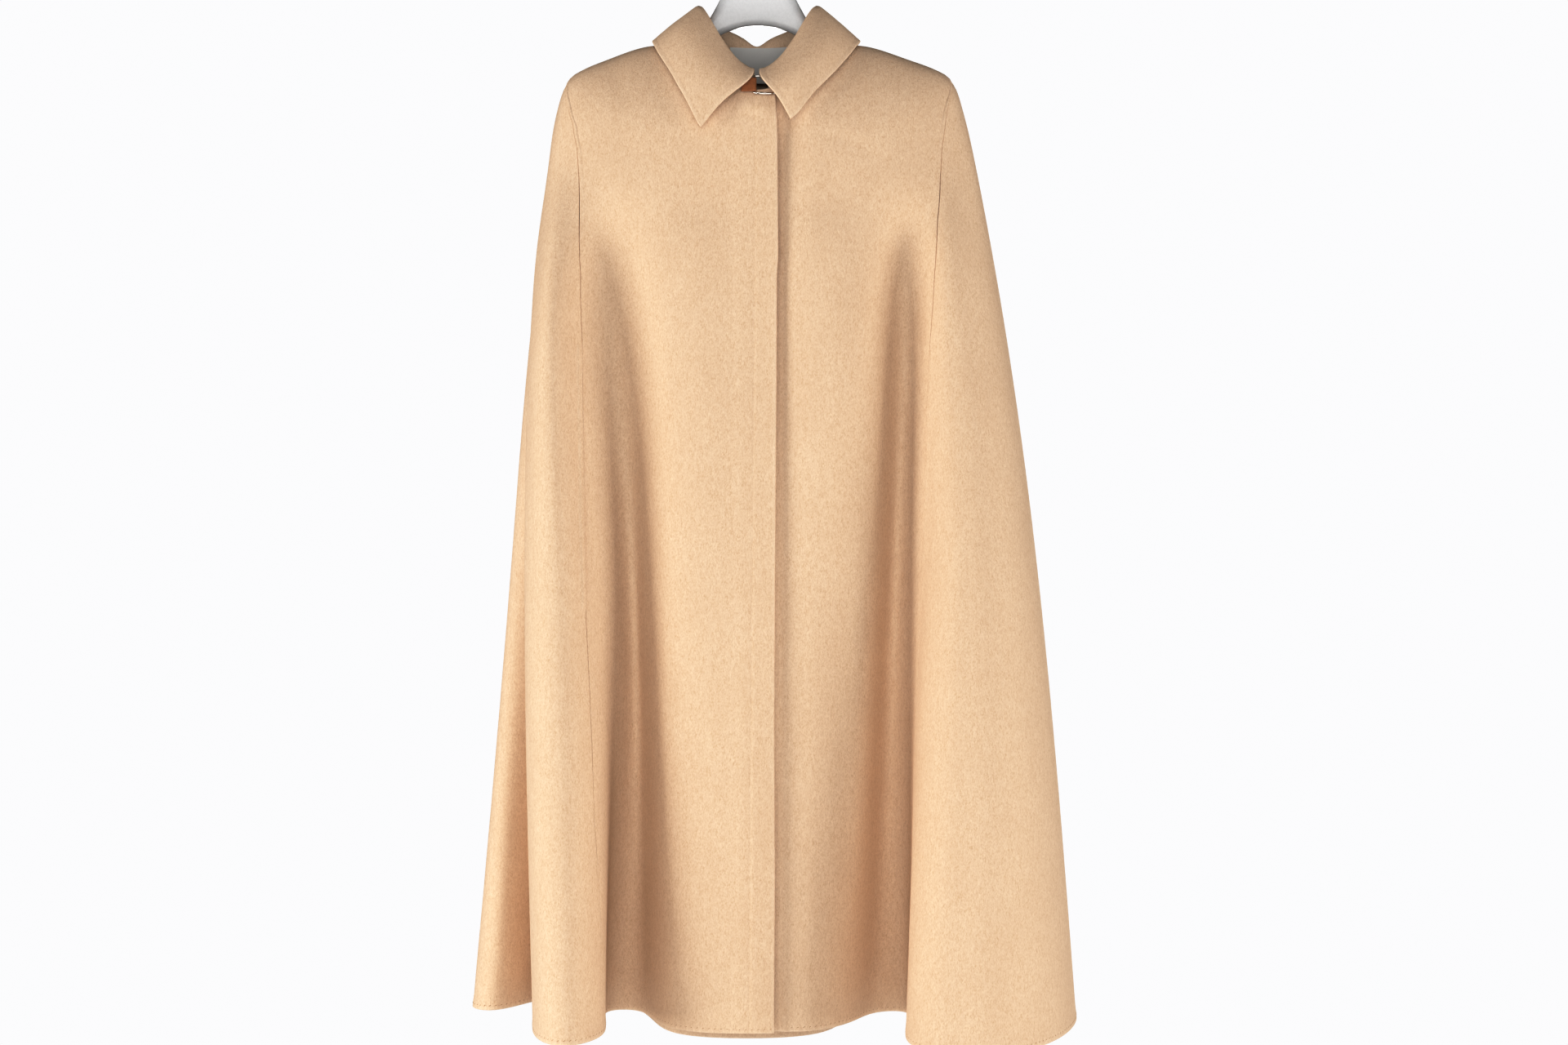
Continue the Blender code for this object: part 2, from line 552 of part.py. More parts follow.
def build_ring(metal):
    """A flat rectangular ring with round corners, its top and bottom slightly bowed."""
    middle = (RING_LEFT + RING_RIGHT) / 2
    half_width = (RING_RIGHT - RING_LEFT) / 2
    corner_x = half_width - RING_CORNER
    corner_down = RING_HALF_HEIGHT - RING_BOW - RING_CORNER
    path = []
    for quarter, (side, end) in enumerate(((1, 1), (-1, 1), (-1, -1), (1, -1))):
        for i in range(CORNER_STEPS + 1):
            angle = math.pi / 2 * (quarter + i / CORNER_STEPS)
            place = middle + side * corner_x + RING_CORNER * math.cos(angle)
            path.append((place, end * corner_down + RING_CORNER * math.sin(angle)))
        if quarter % 2 == 0:
            path.append((middle, end * RING_HALF_HEIGHT))
    tube("ring", [throat(s, 0.0, d) for s, d in path], RING_WIRE, WIRE_SIDES, True, metal)


def build_tab(name, bar, toward, leather):
    """A leather tab folded round one bar of the ring, its two layers running away under the collar."""
    loop = RING_WIRE + SEAM_GAP + LEATHER / 2
    tail = SEAM_GAP / 2 + LEATHER / 2
    centre = [
        (bar + toward * TAB_LENGTH, tail),
        (bar + toward * TAB_CLOSED, tail),
        (bar + toward * TAB_NECK, tail * TAB_NECK_OPENS),
    ]
    bend = []
    for i in range(TAB_BEND_STEPS + 1):
        angle = math.radians(TAB_BEND_START * (1 - 2 * i / TAB_BEND_STEPS))
        bend.append((bar - toward * loop * math.cos(angle), loop * math.sin(angle)))
    line = centre + bend + [(s, -out) for s, out in reversed(centre)]
    line = np.array(line)
    runs = np.gradient(line, axis=0)
    runs /= np.linalg.norm(runs, axis=1, keepdims=True)
    sides = np.stack([runs[:, 1], -runs[:, 0]], -1) * LEATHER / 2
    layers = []
    for sign in (1, -1):
        places = line + sign * sides
        rows = []
        for down in (-TAB_HALF_WIDTH, TAB_HALF_WIDTH):
            rows.append([throat(s, out, down) for s, out in places])
        layers.append(np.array(rows))
    closed_wall(name, layers[0], layers[1], leather)


def build_label(white):
    """A blank woven label, hanging from the inside of the collar down over the back."""
    x = np.linspace(-LABEL_HALF_WIDTH, LABEL_HALF_WIDTH, LABEL_COLUMNS)
    rows = []
    for share in np.linspace(0, 1, LABEL_ROWS):
        y = LABEL_TOP_Y + (LABEL_BOTTOM_Y - LABEL_TOP_Y) * share - x ** 2 / (2 * LABEL_ROUND)
        z = np.full_like(x, LABEL_TOP_Z + (LABEL_BOTTOM_Z - LABEL_TOP_Z) * share)
        rows.append(np.stack([x, y, z], -1))
    back = np.array(rows)
    closed_wall("label", back, back - np.array([0.0, LABEL_THICKNESS, 0.0]), white)


def shoulder_top(x):
    """The height of the cloth's outer face on the shoulder line at x."""
    reaches = np.linspace(0.0, SHOULDER_LENGTH, SHOULDER_SAMPLES)
    turn = RIGHT_SIDE if x > 0 else LEFT_SIDE
    line = cape(float(turn), reaches)
    return float(np.interp(abs(x), np.abs(line[:, 0]), line[:, 2]))


def hanger_rows():
    sizes = [named(HANGER_COLUMNS, row) for row in HANGER_BELL]
    rows = [(size["x"], size["top"], size["bottom"], size["half_depth"]) for size in sizes]
    for i, x in enumerate(ARM_XS):
        share = i / (len(ARM_XS) - 1)
        top = min(shoulder_top(x), shoulder_top(-x)) - CLOTH - ARM_CLEARANCE
        height = ARM_HEIGHT_START + (ARM_HEIGHT_END - ARM_HEIGHT_START) * share
        depth = ARM_DEPTH_START + (ARM_DEPTH_END - ARM_DEPTH_START) * share
        rows.append((x, top, top - height, depth))
    return [(-x, *rest) for x, *rest in reversed(rows[1:])] + rows


def build_hanger(plastic):
    """One moulded body: sections across its length, lofted, with rounded arm ends."""
    mesh = bpy.data.meshes.new("hanger")
    bm = bmesh.new()
    rings = []
    for x, top, bottom, depth in hanger_rows():
        ring = []
        for i in range(HANGER_SIDES):
            angle = 2 * math.pi * i / HANGER_SIDES
            z = (top + bottom) / 2 + (top - bottom) / 2 * math.cos(angle)
            ring.append(bm.verts.new((x, depth * math.sin(angle), z)))
        rings.append(ring)
    for here, there in zip(rings, rings[1:]):
        for i in range(HANGER_SIDES):
            after = (i + 1) % HANGER_SIDES
            bm.faces.new((here[i], here[after], there[after], there[i]))
    for ring in (rings[0], rings[-1]):
        bm.faces.new(ring)
    finish_mesh(bm, mesh)
    add_object("hanger", mesh, plastic)


def build_hook(metal):
    """A wire hook whose crown is inside the origin, on a stem from the top of the bell."""
    radius = HOOK_INSIDE + HOOK_WIRE
    stem = [
        (0.0, 0.0, HOOK_FOOT),
        (0.0, 0.0, HOOK_FOOT + HOOK_STEM),
        (HOOK_SHOULDER_X, 0.0, HOOK_SHOULDER_Z),
    ]
    bow = []
    for degrees in range(HOOK_START, HOOK_END + 1, HOOK_TURN_STEP):
        angle = math.radians(degrees)
        bow.append((radius * math.cos(angle), 0.0, -HOOK_INSIDE + radius * math.sin(angle)))
    tube("hook", smooth_line(stem + bow, HOOK_POINTS), HOOK_WIRE, WIRE_SIDES, False, metal)


def build():
    for old in list(bpy.data.objects):
        bpy.data.objects.remove(old, do_unlink=True)
    wool = make_material("camel wool", (0.60, 0.40, 0.235), 0.9)
    leather = make_material("brown leather", (0.16, 0.055, 0.022), 0.42)
    steel = make_material("polished steel", (0.62, 0.58, 0.54), 0.2, 1.0)
    plastic = make_material("white plastic", (0.80, 0.80, 0.80), 0.3)
    tape = make_material("white woven tape", (0.78, 0.78, 0.77), 0.8)
    build_panels(wool)
    build_collar(wool)
    build_ring(steel)
    build_tab("strap_right", RING_LEFT, -1, leather)
    build_tab("strap_left", RING_RIGHT, 1, leather)
    build_label(tape)
    build_hanger(plastic)
    build_hook(steel)


build()
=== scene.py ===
"""Camel wool cape on its moulded hanger: cloth, seams, stitches, trim, materials, light and camera.

Metres, +Z up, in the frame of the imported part. A place on the cape is given by its turn (the number
of a fold line, counted round from the centre front towards +X) and its reach (the distance down the
cloth from the neck seam). +X is the wearer's left, and "right" and "left" are the wearer's in the
names of pieces and creases. The other tables and the arm slits' strips count from the viewer's side.
"""

import math

import bmesh
import bpy
import numpy as np
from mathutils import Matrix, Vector


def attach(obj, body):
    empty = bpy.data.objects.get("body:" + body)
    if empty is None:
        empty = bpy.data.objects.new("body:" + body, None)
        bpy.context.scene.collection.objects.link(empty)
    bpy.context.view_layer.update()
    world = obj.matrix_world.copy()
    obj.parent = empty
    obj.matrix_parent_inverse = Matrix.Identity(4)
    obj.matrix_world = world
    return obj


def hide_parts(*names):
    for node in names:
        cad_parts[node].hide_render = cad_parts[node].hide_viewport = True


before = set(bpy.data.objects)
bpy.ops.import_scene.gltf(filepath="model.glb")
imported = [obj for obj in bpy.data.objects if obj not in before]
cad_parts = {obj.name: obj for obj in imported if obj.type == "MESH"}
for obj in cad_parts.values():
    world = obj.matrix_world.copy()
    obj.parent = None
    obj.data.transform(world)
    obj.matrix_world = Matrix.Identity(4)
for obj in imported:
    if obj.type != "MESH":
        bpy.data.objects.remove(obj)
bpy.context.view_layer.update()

CLOTH = 0.0022
COLLAR_CLOTH = 0.0030
SEAM_GAP = 0.0003

# Rings round the shoulders, each an oval of four half widths that dips to the front and the back
RING_COLUMNS = (
    "name", "reach", "left", "right", "front", "back", "side_z", "front_z", "back_z", "squareness")
SHOULDER_RINGS = (
    ("neck", 0.000, 0.069, 0.069, 0.0545, 0.045, -0.1635, -0.2345, -0.183, 2.0),
    ("base", 0.009, 0.076, 0.076, 0.0570, 0.051, -0.1700, -0.2430, -0.190, 2.0),
    ("yoke", 0.050, 0.112, 0.110, 0.0585, 0.060, -0.1785, -0.2600, -0.222, 2.2),
    ("shoulder", 0.100, 0.160, 0.160, 0.0590, 0.064, -0.1940, -0.2780, -0.250, 2.4),
    ("tip", 0.140, 0.196, 0.200, 0.0595, 0.066, -0.2140, -0.2980, -0.275, 2.6),
    ("arm", 0.168, 0.208, 0.212, 0.0600, 0.067, -0.2400, -0.3150, -0.295, 2.6),
    ("upper", 0.230, 0.218, 0.226, 0.0610, 0.068, -0.3000, -0.3500, -0.340, 2.5),
)

# Fold lines down the cloth, in order round the body: the angle on the shoulder rings, then the
# place at the chest, at the waist and at the hem
FOLD_COLUMNS = ("name", "angle", "chest_x", "chest_y", "waist_x", "waist_y", "hem_x", "hem_y", "hem_z")
FOLDS = (
    ("centre front", 2, 0.010, -0.062, 0.010, -0.068, 0.010, -0.075, -1.190),
    ("right of centre", 16, 0.075, -0.064, 0.078, -0.064, 0.066, -0.058, -1.190),
    ("right slope", 27, 0.124, -0.049, 0.121, -0.049, 0.099, -0.020, -1.190),
    ("right valley", 36, 0.153, -0.038, 0.144, -0.018, 0.127, 0.020, -1.190),
    ("right front seam", 47, 0.180, -0.050, 0.165, -0.044, 0.155, 0.018, -1.190),
    ("right flute inner", 54, 0.196, -0.055, 0.179, -0.074, 0.150, -0.100, -1.192),
    ("right flute crest", 63, 0.214, -0.045, 0.208, -0.098, 0.195, -0.150, -1.194),
    ("right flute outer", 75, 0.233, -0.027, 0.256, -0.075, 0.275, -0.120, -1.194),
    ("right side", 90, 0.243, 0.005, 0.285, -0.005, 0.331, -0.005, -1.192),
    ("right side back", 106, 0.236, 0.038, 0.272, 0.050, 0.318, 0.080, -1.194),
    ("right back seam", 122, 0.205, 0.058, 0.230, 0.085, 0.255, 0.135, -1.198),
    ("right back flute", 136, 0.165, 0.068, 0.170, 0.100, 0.178, 0.150, -1.202),
    ("right back slope", 150, 0.115, 0.070, 0.112, 0.075, 0.105, 0.085, -1.206),
    ("right back valley", 162, 0.070, 0.068, 0.068, 0.045, 0.065, 0.015, -1.210),
    ("centre back", 180, -0.005, 0.068, -0.008, 0.036, -0.012, -0.002, -1.212),
    ("left back valley", 198, -0.075, 0.068, -0.080, 0.045, -0.088, 0.015, -1.210),
    ("left back slope", 210, -0.118, 0.070, -0.118, 0.078, -0.122, 0.085, -1.206),
    ("left back flute", 224, -0.160, 0.067, -0.168, 0.102, -0.180, 0.148, -1.202),
    ("left back seam", 238, -0.196, 0.056, -0.215, 0.086, -0.248, 0.120, -1.198),
    ("left side flute", 250, -0.222, 0.035, -0.257, 0.052, -0.306, 0.065, -1.193),
    ("left side front", 261, -0.228, 0.012, -0.252, 0.025, -0.278, 0.030, -1.190),
    ("left side valley", 270, -0.229, -0.008, -0.234, 0.010, -0.236, 0.075, -1.190),
    ("left flute outer", 283, -0.224, -0.028, -0.238, -0.045, -0.228, -0.060, -1.190),
    ("left flute crest", 297, -0.207, -0.054, -0.205, -0.087, -0.190, -0.128, -1.190),
    ("left front seam", 313, -0.180, -0.048, -0.171, -0.058, -0.155, -0.078, -1.190),
    ("left valley", 323, -0.157, -0.040, -0.150, -0.034, -0.157, 0.024, -1.190),
    ("left slope", 332, -0.131, -0.046, -0.132, -0.015, -0.127, 0.026, -1.190),
    ("left of centre", 344, -0.078, -0.063, -0.090, -0.061, -0.086, -0.054, -1.190),
)
FOLD_COUNT = len(FOLDS)
CHEST_REACH, CHEST_Z = 0.315, -0.385
WAIST_REACH, WAIST_Z = 0.605, -0.675
HEM_REACH = 1.120
RIGHT_SIDE, LEFT_SIDE = 8, 21
GORE_TOP = 0.132

# Where each long seam runs: its turn at a reach down the cloth
SEAM_COLUMNS = ("reach", "right_front", "right_back", "left_back", "left_front")
SEAMS = (
    (GORE_TOP, 7.95, 8.05, 20.95, 21.05),
    (0.146, 7.35, 8.55, 20.40, 21.60),
    (0.160, 6.25, 9.00, 19.80, 22.50),
    (0.176, 5.74, 9.40, 19.30, 23.10),
    (0.200, 5.15, 9.70, 18.80, 23.41),
    (0.235, 4.67, 9.90, 18.40, 23.58),
    (0.290, 4.23, 10.00, 18.10, 23.83),
    (0.360, 4.03, 10.00, 18.00, 24.12),
    (0.430, 3.95, 10.00, 18.00, 24.20),
    (0.500, 4.00, 10.00, 18.00, 24.07),
    (0.600, 4.22, 10.00, 18.00, 23.86),
    (0.700, 4.42, 10.00, 18.00, 23.74),
    (0.900, 4.50, 10.00, 18.00, 23.78),
    (HEM_REACH, 4.50, 10.00, 18.00, 24.12),
)

# Arm slits: the front seams are left open here, with the edges just parted
SLIT_TOP, SLIT_BOTTOM = 0.435, 0.690
SLIT_PARTING = 0.0006
SLIT_STRIP_FLAT, SLIT_STRIP_WIDTH, SLIT_STRIP_FULL = 0.0048, 0.0066, 0.35
SLIT_STRIP_RISE = {"left": 0.0013, "right": 0.0004}
SLIT_PANEL_SINK, SLIT_SINK_FLAT, SLIT_SINK_WIDTH = 0.0008, 0.004, 0.014

# The front seams are felled: a flat ridge beside the seam that dies away below the shoulder
SEAM_RIDGE_RISE, SEAM_RIDGE_FLAT, SEAM_RIDGE_WIDTH = 0.0009, 0.0042, 0.0056
SEAM_RIDGE_STARTS, SEAM_RIDGE_RISEN = 0.120, 0.138
SEAM_RIDGE_FULL, SEAM_RIDGE_END = 0.165, 0.300

# Front closing: the wearer's right front lies over the left one and has a thicker edge
CLOSING_X = 0.0188
CLOSING_LINE = (
    (-0.235, 0.0185), (-0.275, 0.0202), (-0.405, 0.0212), (-0.422, 0.0198), (-0.530, 0.0194),
    (-0.730, 0.0180), (-0.880, 0.0173), (-1.030, 0.0180), (-1.190, 0.0172),
)
UNDERLAP = 0.045
PLACKET_WIDTH, PLACKET_SLOPE = 0.034, 0.012
PLACKET_EXTRA, PLACKET_LIFT = 0.0022, 0.0012
UNDERLAP_SINK, SINK_STARTS = 0.0048, 0.004
SPREAD_AT_NECK, SPREAD_MORE, SPREAD_REACH = 0.018, 0.022, 0.10
CREVICE_DEPTH, CREVICE_MIDDLE, CREVICE_SPREAD = 0.0028, 0.0020, 0.0060
CREVICE_STARTS, CREVICE_FULL = 0.05, 0.15
NECK_SINK, NECK_SINK_STARTS, NECK_SINK_FULL = 0.0016, 0.004, 0.030
NECK_SINK_FADES, NECK_SINK_ENDS = 0.06, 0.24
FACING_TOP, FACING_BOTTOM = 0.0200, 0.0255
FACING_TOP_Z, FACING_BOTTOM_Z = -0.25, -1.19
FACING_RISE, FACING_GROOVE, FACING_SPREAD = 0.0005, 0.0003, 0.0012

# The hem is turned in and felled, which leaves a soft band above the edge
HEM_BAND, HEM_BAND_RISE, HEM_BAND_SLOPE = 0.0090, 0.0004, 0.0015
STITCH_ABOVE_HEM, HEM_LINE_POINTS = 0.0050, 260
STITCHES_FROM_CLOSING, STITCHES_FROM_SEAM, STITCHES_UNDER = 0.004, 0.03, 0.35
STITCH = {"Spacing": 0.0062, "Thread Length": 0.0024, "Thread Radius": 0.00022, "Slant": 0.5, "Seed": 7}
SLANT_LEAST, SLANT_MOST = 0.6, 1.4
THREAD_END_DIP, THREAD_MIDDLE_RISE = -1.5, 2.2
THREAD_SEGMENTS, THREAD_SIDES = 5, 6

# Soft troughs and ridges: where the middle is, which way it runs (0 down the cloth, 90 round it),
# half its length and width, and how far it stands out
CREASE_COLUMNS = ("name", "turn", "reach", "run", "half_length", "half_width", "rise")
CREASES = (
    ("pull below the ring", 27.85, 0.112, 84, 0.024, 0.0050, -0.0005),
    ("second pull below the ring", 27.90, 0.122, 93, 0.018, 0.0045, 0.0004),
    ("press mark near the hem", 27.85, 1.030, 78, 0.034, 0.0050, -0.0008),
    ("second press mark near the hem", 27.80, 1.043, 84, 0.026, 0.0040, 0.0005),
    ("long hollow of the right front", 27.10, 0.520, 3, 0.260, 0.0140, -0.0009),
    ("soft swell of the right front", 26.40, 0.700, -4, 0.300, 0.0200, 0.0010),
    ("faint vertical of the right front", 26.10, 0.330, 6, 0.120, 0.0100, -0.0006),
    ("long hollow of the left front", 1.35, 0.600, -3, 0.280, 0.0160, -0.0009),
    ("soft swell of the left front", 0.90, 0.860, 4, 0.200, 0.0180, 0.0009),
    ("collar press on the left front", 1.70, 0.150, 35, 0.060, 0.0090, -0.0007),
    ("shoulder pull, right", 23.60, 0.110, 60, 0.045, 0.0080, -0.0008),
    ("shoulder pull, left", 5.20, 0.112, -58, 0.050, 0.0090, -0.0007),
    ("hanger end, right", 21.80, 0.185, 20, 0.040, 0.0110, -0.0008),
    ("hanger end, left", 7.10, 0.190, -24, 0.045, 0.0100, -0.0008),
    ("gore hollow, right", 22.40, 0.620, 4, 0.240, 0.0150, -0.0010),
    ("gore ridge, right", 21.30, 0.860, -6, 0.180, 0.0170, 0.0011),
    ("gore hollow, left", 6.60, 0.560, -5, 0.220, 0.0170, -0.0010),
    ("gore ridge, left", 7.60, 0.820, 5, 0.220, 0.0190, 0.0011),
    ("back yoke pull, right", 17.10, 0.120, 72, 0.070, 0.0090, -0.0008),
    ("back yoke pull, left", 11.10, 0.126, -70, 0.062, 0.0080, -0.0007),
    ("back centre hollow", 14.20, 0.420, 2, 0.240, 0.0170, -0.0011),
    ("back swell, right", 15.60, 0.640, -3, 0.300, 0.0200, 0.0012),
    ("back swell, left", 12.70, 0.760, 4, 0.260, 0.0180, 0.0010),
    ("back hem crease, right", 16.20, 1.020, 10, 0.090, 0.0120, -0.0010),
    ("back hem crease, left", 11.90, 0.990, -8, 0.110, 0.0130, -0.0009),
)

# Collar stations, from the viewer's left point round the back to the right one: the angle of the
# neck seam and of the fold, the turn, reach and height over the cloth of the outer edge, and how
# far the leaf swells between the fold and that edge
COLLAR_COLUMNS = ("name", "seam_angle", "fold_angle", "turn", "reach", "height", "swell")
COLLAR = (
    ("left front edge", -4.5, -3, -0.96, 0.108, 0.0085, 0.0085),
    ("left leaf front", -22, -21, -1.80, 0.080, 0.0085, 0.0085),
    ("left leaf middle", -42, -41, -3.14, 0.062, 0.0070, 0.0080),
    ("left leaf rear", -64, -63, -4.45, 0.053, 0.0045, 0.0055),
    ("left shoulder", -88, -88, -6.40, 0.048, 0.0020, 0.0012),
    ("left back", -116, -116, -8.80, 0.044, 0.0020, 0.0015),
    ("left back middle", -148, -148, -11.50, 0.040, 0.0020, 0.0040),
    ("centre back", -180, -180, -14.00, 0.038, 0.0020, 0.0050),
    ("right back middle", -212, -212, -16.50, 0.040, 0.0020, 0.0040),
    ("right back", -244, -244, -19.00, 0.043, 0.0020, 0.0015),
    ("right shoulder", -272, -272, -20.60, 0.046, 0.0020, 0.0012),
    ("right leaf rear", -296, -297, -23.10, 0.046, 0.0045, 0.0055),
    ("right leaf middle", -318, -319, -24.80, 0.046, 0.0070, 0.0080),
    ("right leaf front", -338, -339, -26.28, 0.054, 0.0085, 0.0085),
    ("right front edge", -351, -358.5, -27.38, 0.082, 0.0085, 0.0085),
)
COLLAR_SEAM = 0.0010
FOLD_SIDE, FOLD_FRONT, FOLD_BACK = 0.0615, 0.0460, 0.0420
FOLD_SIDE_Z, FOLD_FRONT_DROP, FOLD_BACK_DROP = -0.1385, 0.0740, 0.0235
FRONT_DROP_POWER = 2.6
BACK_NOTCH, BACK_NOTCH_WIDTH, BACK_NOTCH_X = 0.0090, 0.0120, -0.0020
STAND_RISE, STAND_LEAN, STAND_DROP = 0.0060, 0.0035, 0.0060
ROLL_OUT, ROLL_DROP = 0.0060, 0.0030
# Degrees, turns and metres brought to like sizes, for one smooth line through the stations
STATION_SCALE = np.array([1, 1, 12, 200, 200, 200])
FIRST_STATION_STEP = 0.030
COLLAR_EDGE_GROOVE, COLLAR_GROOVE_INSIDE, COLLAR_GROOVE_SPREAD = 0.0002, 0.0062, 0.0010

# Ring and leather tabs on the neck, in a leaning frame that follows the neck seam
THROAT_Z = -0.2294
THROAT_ROUND, THROAT_FRONT = 0.3000, 0.0568
THROAT_LEAN = 0.45
RING_LEFT, RING_RIGHT = -0.0035, 0.0195
RING_HALF_HEIGHT, RING_BOW, RING_CORNER, RING_WIRE = 0.0102, 0.0007, 0.0016, 0.0010
CORNER_STEPS, BOW_POINTS = 6, 13
LEATHER = 0.0013
TAB_HALF_WIDTH, TAB_ROUND = 0.0074, 0.0005
# One layer of a tab towards its bar: how far from the bar, and how far apart against lying flat.
# The bend round the bar then goes by its angles in degrees
TAB_LAYER = ((0.013, 1.0), (0.009, 1.0), (0.005, 1.2))
TAB_BEND = np.linspace(115, -115, 9)
TAB_POINTS, TAB_ROWS = 65, 10

# Blank label, sewn along its top edge inside the back of the neck
LABEL_HALF_WIDTH, LABEL_ROUND, LABEL_THICKNESS = 0.030, 0.090, 0.0006
LABEL_TOP_Y, LABEL_TOP_Z = 0.0353, -0.1725
LABEL_BOTTOM_Y, LABEL_BOTTOM_Z = 0.0465, -0.2080
LABEL_WAVE, LABEL_WAVES, LABEL_WAVE_START = 0.0004, 210, 0.8
LABEL_COLUMNS, LABEL_ROWS = 24, 14

# Hanger: rows from the middle out, each the top, the bottom and half the depth at one width
HANGER_COLUMNS = ("name", "x", "top", "bottom", "half_depth")
HANGER_BELL = (
    ("middle", 0.0000, -0.0790, -0.1565, 0.0100),
    ("shoulder of bell", 0.0165, -0.0835, -0.1580, 0.0100),
    ("upper flank", 0.0280, -0.1040, -0.1615, 0.0100),
    ("flank", 0.0394, -0.1300, -0.1665, 0.0100),
    ("lower flank", 0.0496, -0.1490, -0.1740, 0.0100),
    ("foot of bell", 0.0680, -0.1725, -0.1850, 0.0095),
)
ARM_XS = (0.078, 0.087, 0.098, 0.115, 0.138, 0.162, 0.180)
ARM_CLEARANCE = 0.0014
ARM_DEPTH_START, ARM_DEPTH_END = 0.0105, 0.0130
ARM_HEIGHT_START, ARM_HEIGHT_END = 0.0170, 0.0130
HANGER_SECTIONS, HANGER_SIDES = 161, 44
HANGER_TALL_POWER, HANGER_FLAT_POWER = 0.85, 0.7
HANGER_END, HANGER_END_SIZE = 0.006, 0.08
BELL_EDGE, BELL_BLEND = 0.058, 0.012
RIM_HEIGHT, RIM_SPREAD, RIM_DEPTH = 0.0038, 0.0026, 0.07
HANGER_SHARP = math.radians(50)
SHOULDER_REACHES = np.linspace(0.0, 0.16, 81)

# Hook: a stem and a bow, whose angles are in degrees
HOOK_WIRE, HOOK_INSIDE, HOOK_FOOT = 0.0019, 0.0235, -0.0785
HOOK_STEM = ((0.0, 0.0, HOOK_FOOT), (0.0, 0.0, HOOK_FOOT + 0.010), (0.004, 0.0, -0.0555))
HOOK_BOW = range(-35, 211, 18)
HOOK_POINTS, WIRE_SIDES = 130, 20
# The domed end of a wire: how far out and how wide, in wire radii
DOME = ((0.45, 0.893), (0.85, 0.527), (0.98, 0.199))

# The picture's contrast: each brightness below white, and what it becomes
CONTRAST_CURVE = (
    (0.10, 0.045), (0.22, 0.125), (0.34, 0.230), (0.50, 0.410), (0.66, 0.615), (0.85, 0.850))
ALL_CHANNELS = 3
CAMERA_PLACE = (0.027, -2.27, -0.6747)
FLOOR_RADIUS, FLOOR_Z = 1.5, -1.62

# Rectangular lights that face the upright line through the origin at target_z, and a white
# background that is bright in the picture but gives little light
LIGHT_COLUMNS = ("name", "place", "target_z", "size", "power", "colour")
LIGHTS = (
    ("left soft box", (-2.6, -1.0, -0.80), -0.75, (0.9, 1.9), 66, (1.0, 0.99, 0.975)),
    ("right soft box", (2.6, -1.0, -0.80), -0.75, (0.9, 1.9), 49, (1.0, 0.99, 0.975)),
    ("front fill", (-0.10, -2.60, -0.60), -0.70, (3.2, 2.4), 62, (1.0, 0.99, 0.975)),
    ("back soft box", (0.4, 2.7, -0.4), -0.70, (1.8, 1.8), 95, (1.0, 0.99, 0.98)),
)
WHITE, WHITE_AS_LIGHT, WHITE_AS_SEEN = (0.97, 0.97, 0.98), 0.05, 1.0

# Places of a mix node's two colours and of the mixed one
MIX_FIRST, MIX_SECOND, MIX_RESULT = 6, 7, 2

# Distances inside an edge where a piece of cloth has a row, so that the edge can be rounded
EDGE_STEPS = np.array(
    [0.0, 0.0002, 0.0005, 0.0009, 0.0014, 0.0021, 0.0030, 0.0042, 0.0054, 0.0064, 0.0080])
EDGE_ROOM = 0.030
SEWN_ROUND, FREE_ROUND = 0.0006, 0.0013
HEM_WEAR, COLLAR_WEAR = 0.0025, 0.0030

# How many rows and columns each piece of cloth has between its edges
LONG_ROWS, GORE_ROWS = 176, 158
RIGHT_FRONT_COLUMNS, LEFT_FRONT_COLUMNS, BACK_COLUMNS, GORE_COLUMNS = 46, 64, 92, 72
CLOSING_BAND = (PLACKET_WIDTH, 24)
TRIES_ACROSS = 161
COLLAR_ROWS, COLLAR_COLUMN_COUNT, COLLAR_LINE_POINTS = 96, 36, 81

# Steps to either side of a place, to measure how the cloth runs there, and a search of the front
REACH_STEP, TURN_STEP = 0.0005, 0.01
FRONT_TURNS = np.linspace(-2.5, 2.5, 101)
ROUNDING_ERROR = 1e-6


def bends_through(knots, values, closed):
    """Second derivatives of the smooth cubic that runs through the values at the knots."""
    count = len(values)
    steps = np.diff(knots)
    matrix = np.eye(count)
    target = np.zeros_like(values)
    for i in range(count):
        if not closed and i in (0, count - 1):
            continue
        before, after = steps[i - 1], steps[i]
        matrix[i, i] = 2 * (before + after)
        matrix[i, i - 1] += before
        matrix[i, (i + 1) % count] += after
        rise = (values[(i + 1) % count] - values[i]) / after
        target[i] = 6 * (rise - (values[i] - values[i - 1]) / before)
    return np.linalg.solve(matrix, target)


def cubic(start, end, start_bend, end_bend, step, share):
    """The point a share of the way along one piece of a smooth cubic."""
    rest = 1 - share
    bend = (rest ** 3 - rest) * start_bend + (share ** 3 - share) * end_bend
    return rest * start + share * end + step * step / 6 * bend


def unit(vectors):
    """The same vectors at length 1."""
    return vectors / np.linalg.norm(vectors, axis=-1, keepdims=True)


def run_lengths(points, axis=0):
    """How far each point lies along its line, from the line's first point."""
    steps = np.linalg.norm(np.diff(points, axis=axis), axis=-1)
    return np.insert(np.cumsum(steps, axis=axis), 0, 0, axis=axis)


def smooth_line(points, count):
    """Evenly shared points on a smooth open curve through the given ones."""
    points = np.asarray(points, float)
    knots = run_lengths(points)
    return smooth_places(points, knots, np.linspace(0, knots[-1], count))


def smooth_places(points, knots, places):
    """Points at the given places on a smooth open curve that has the points at its knots."""
    bends = bends_through(knots, points, False)
    i = np.clip(np.searchsorted(knots, places, side="right") - 1, 0, len(points) - 2)
    step = (knots[i + 1] - knots[i])[:, None]
    share = (places - knots[i])[:, None] / step
    return cubic(points[i], points[i + 1], bends[i], bends[i + 1], step, share)


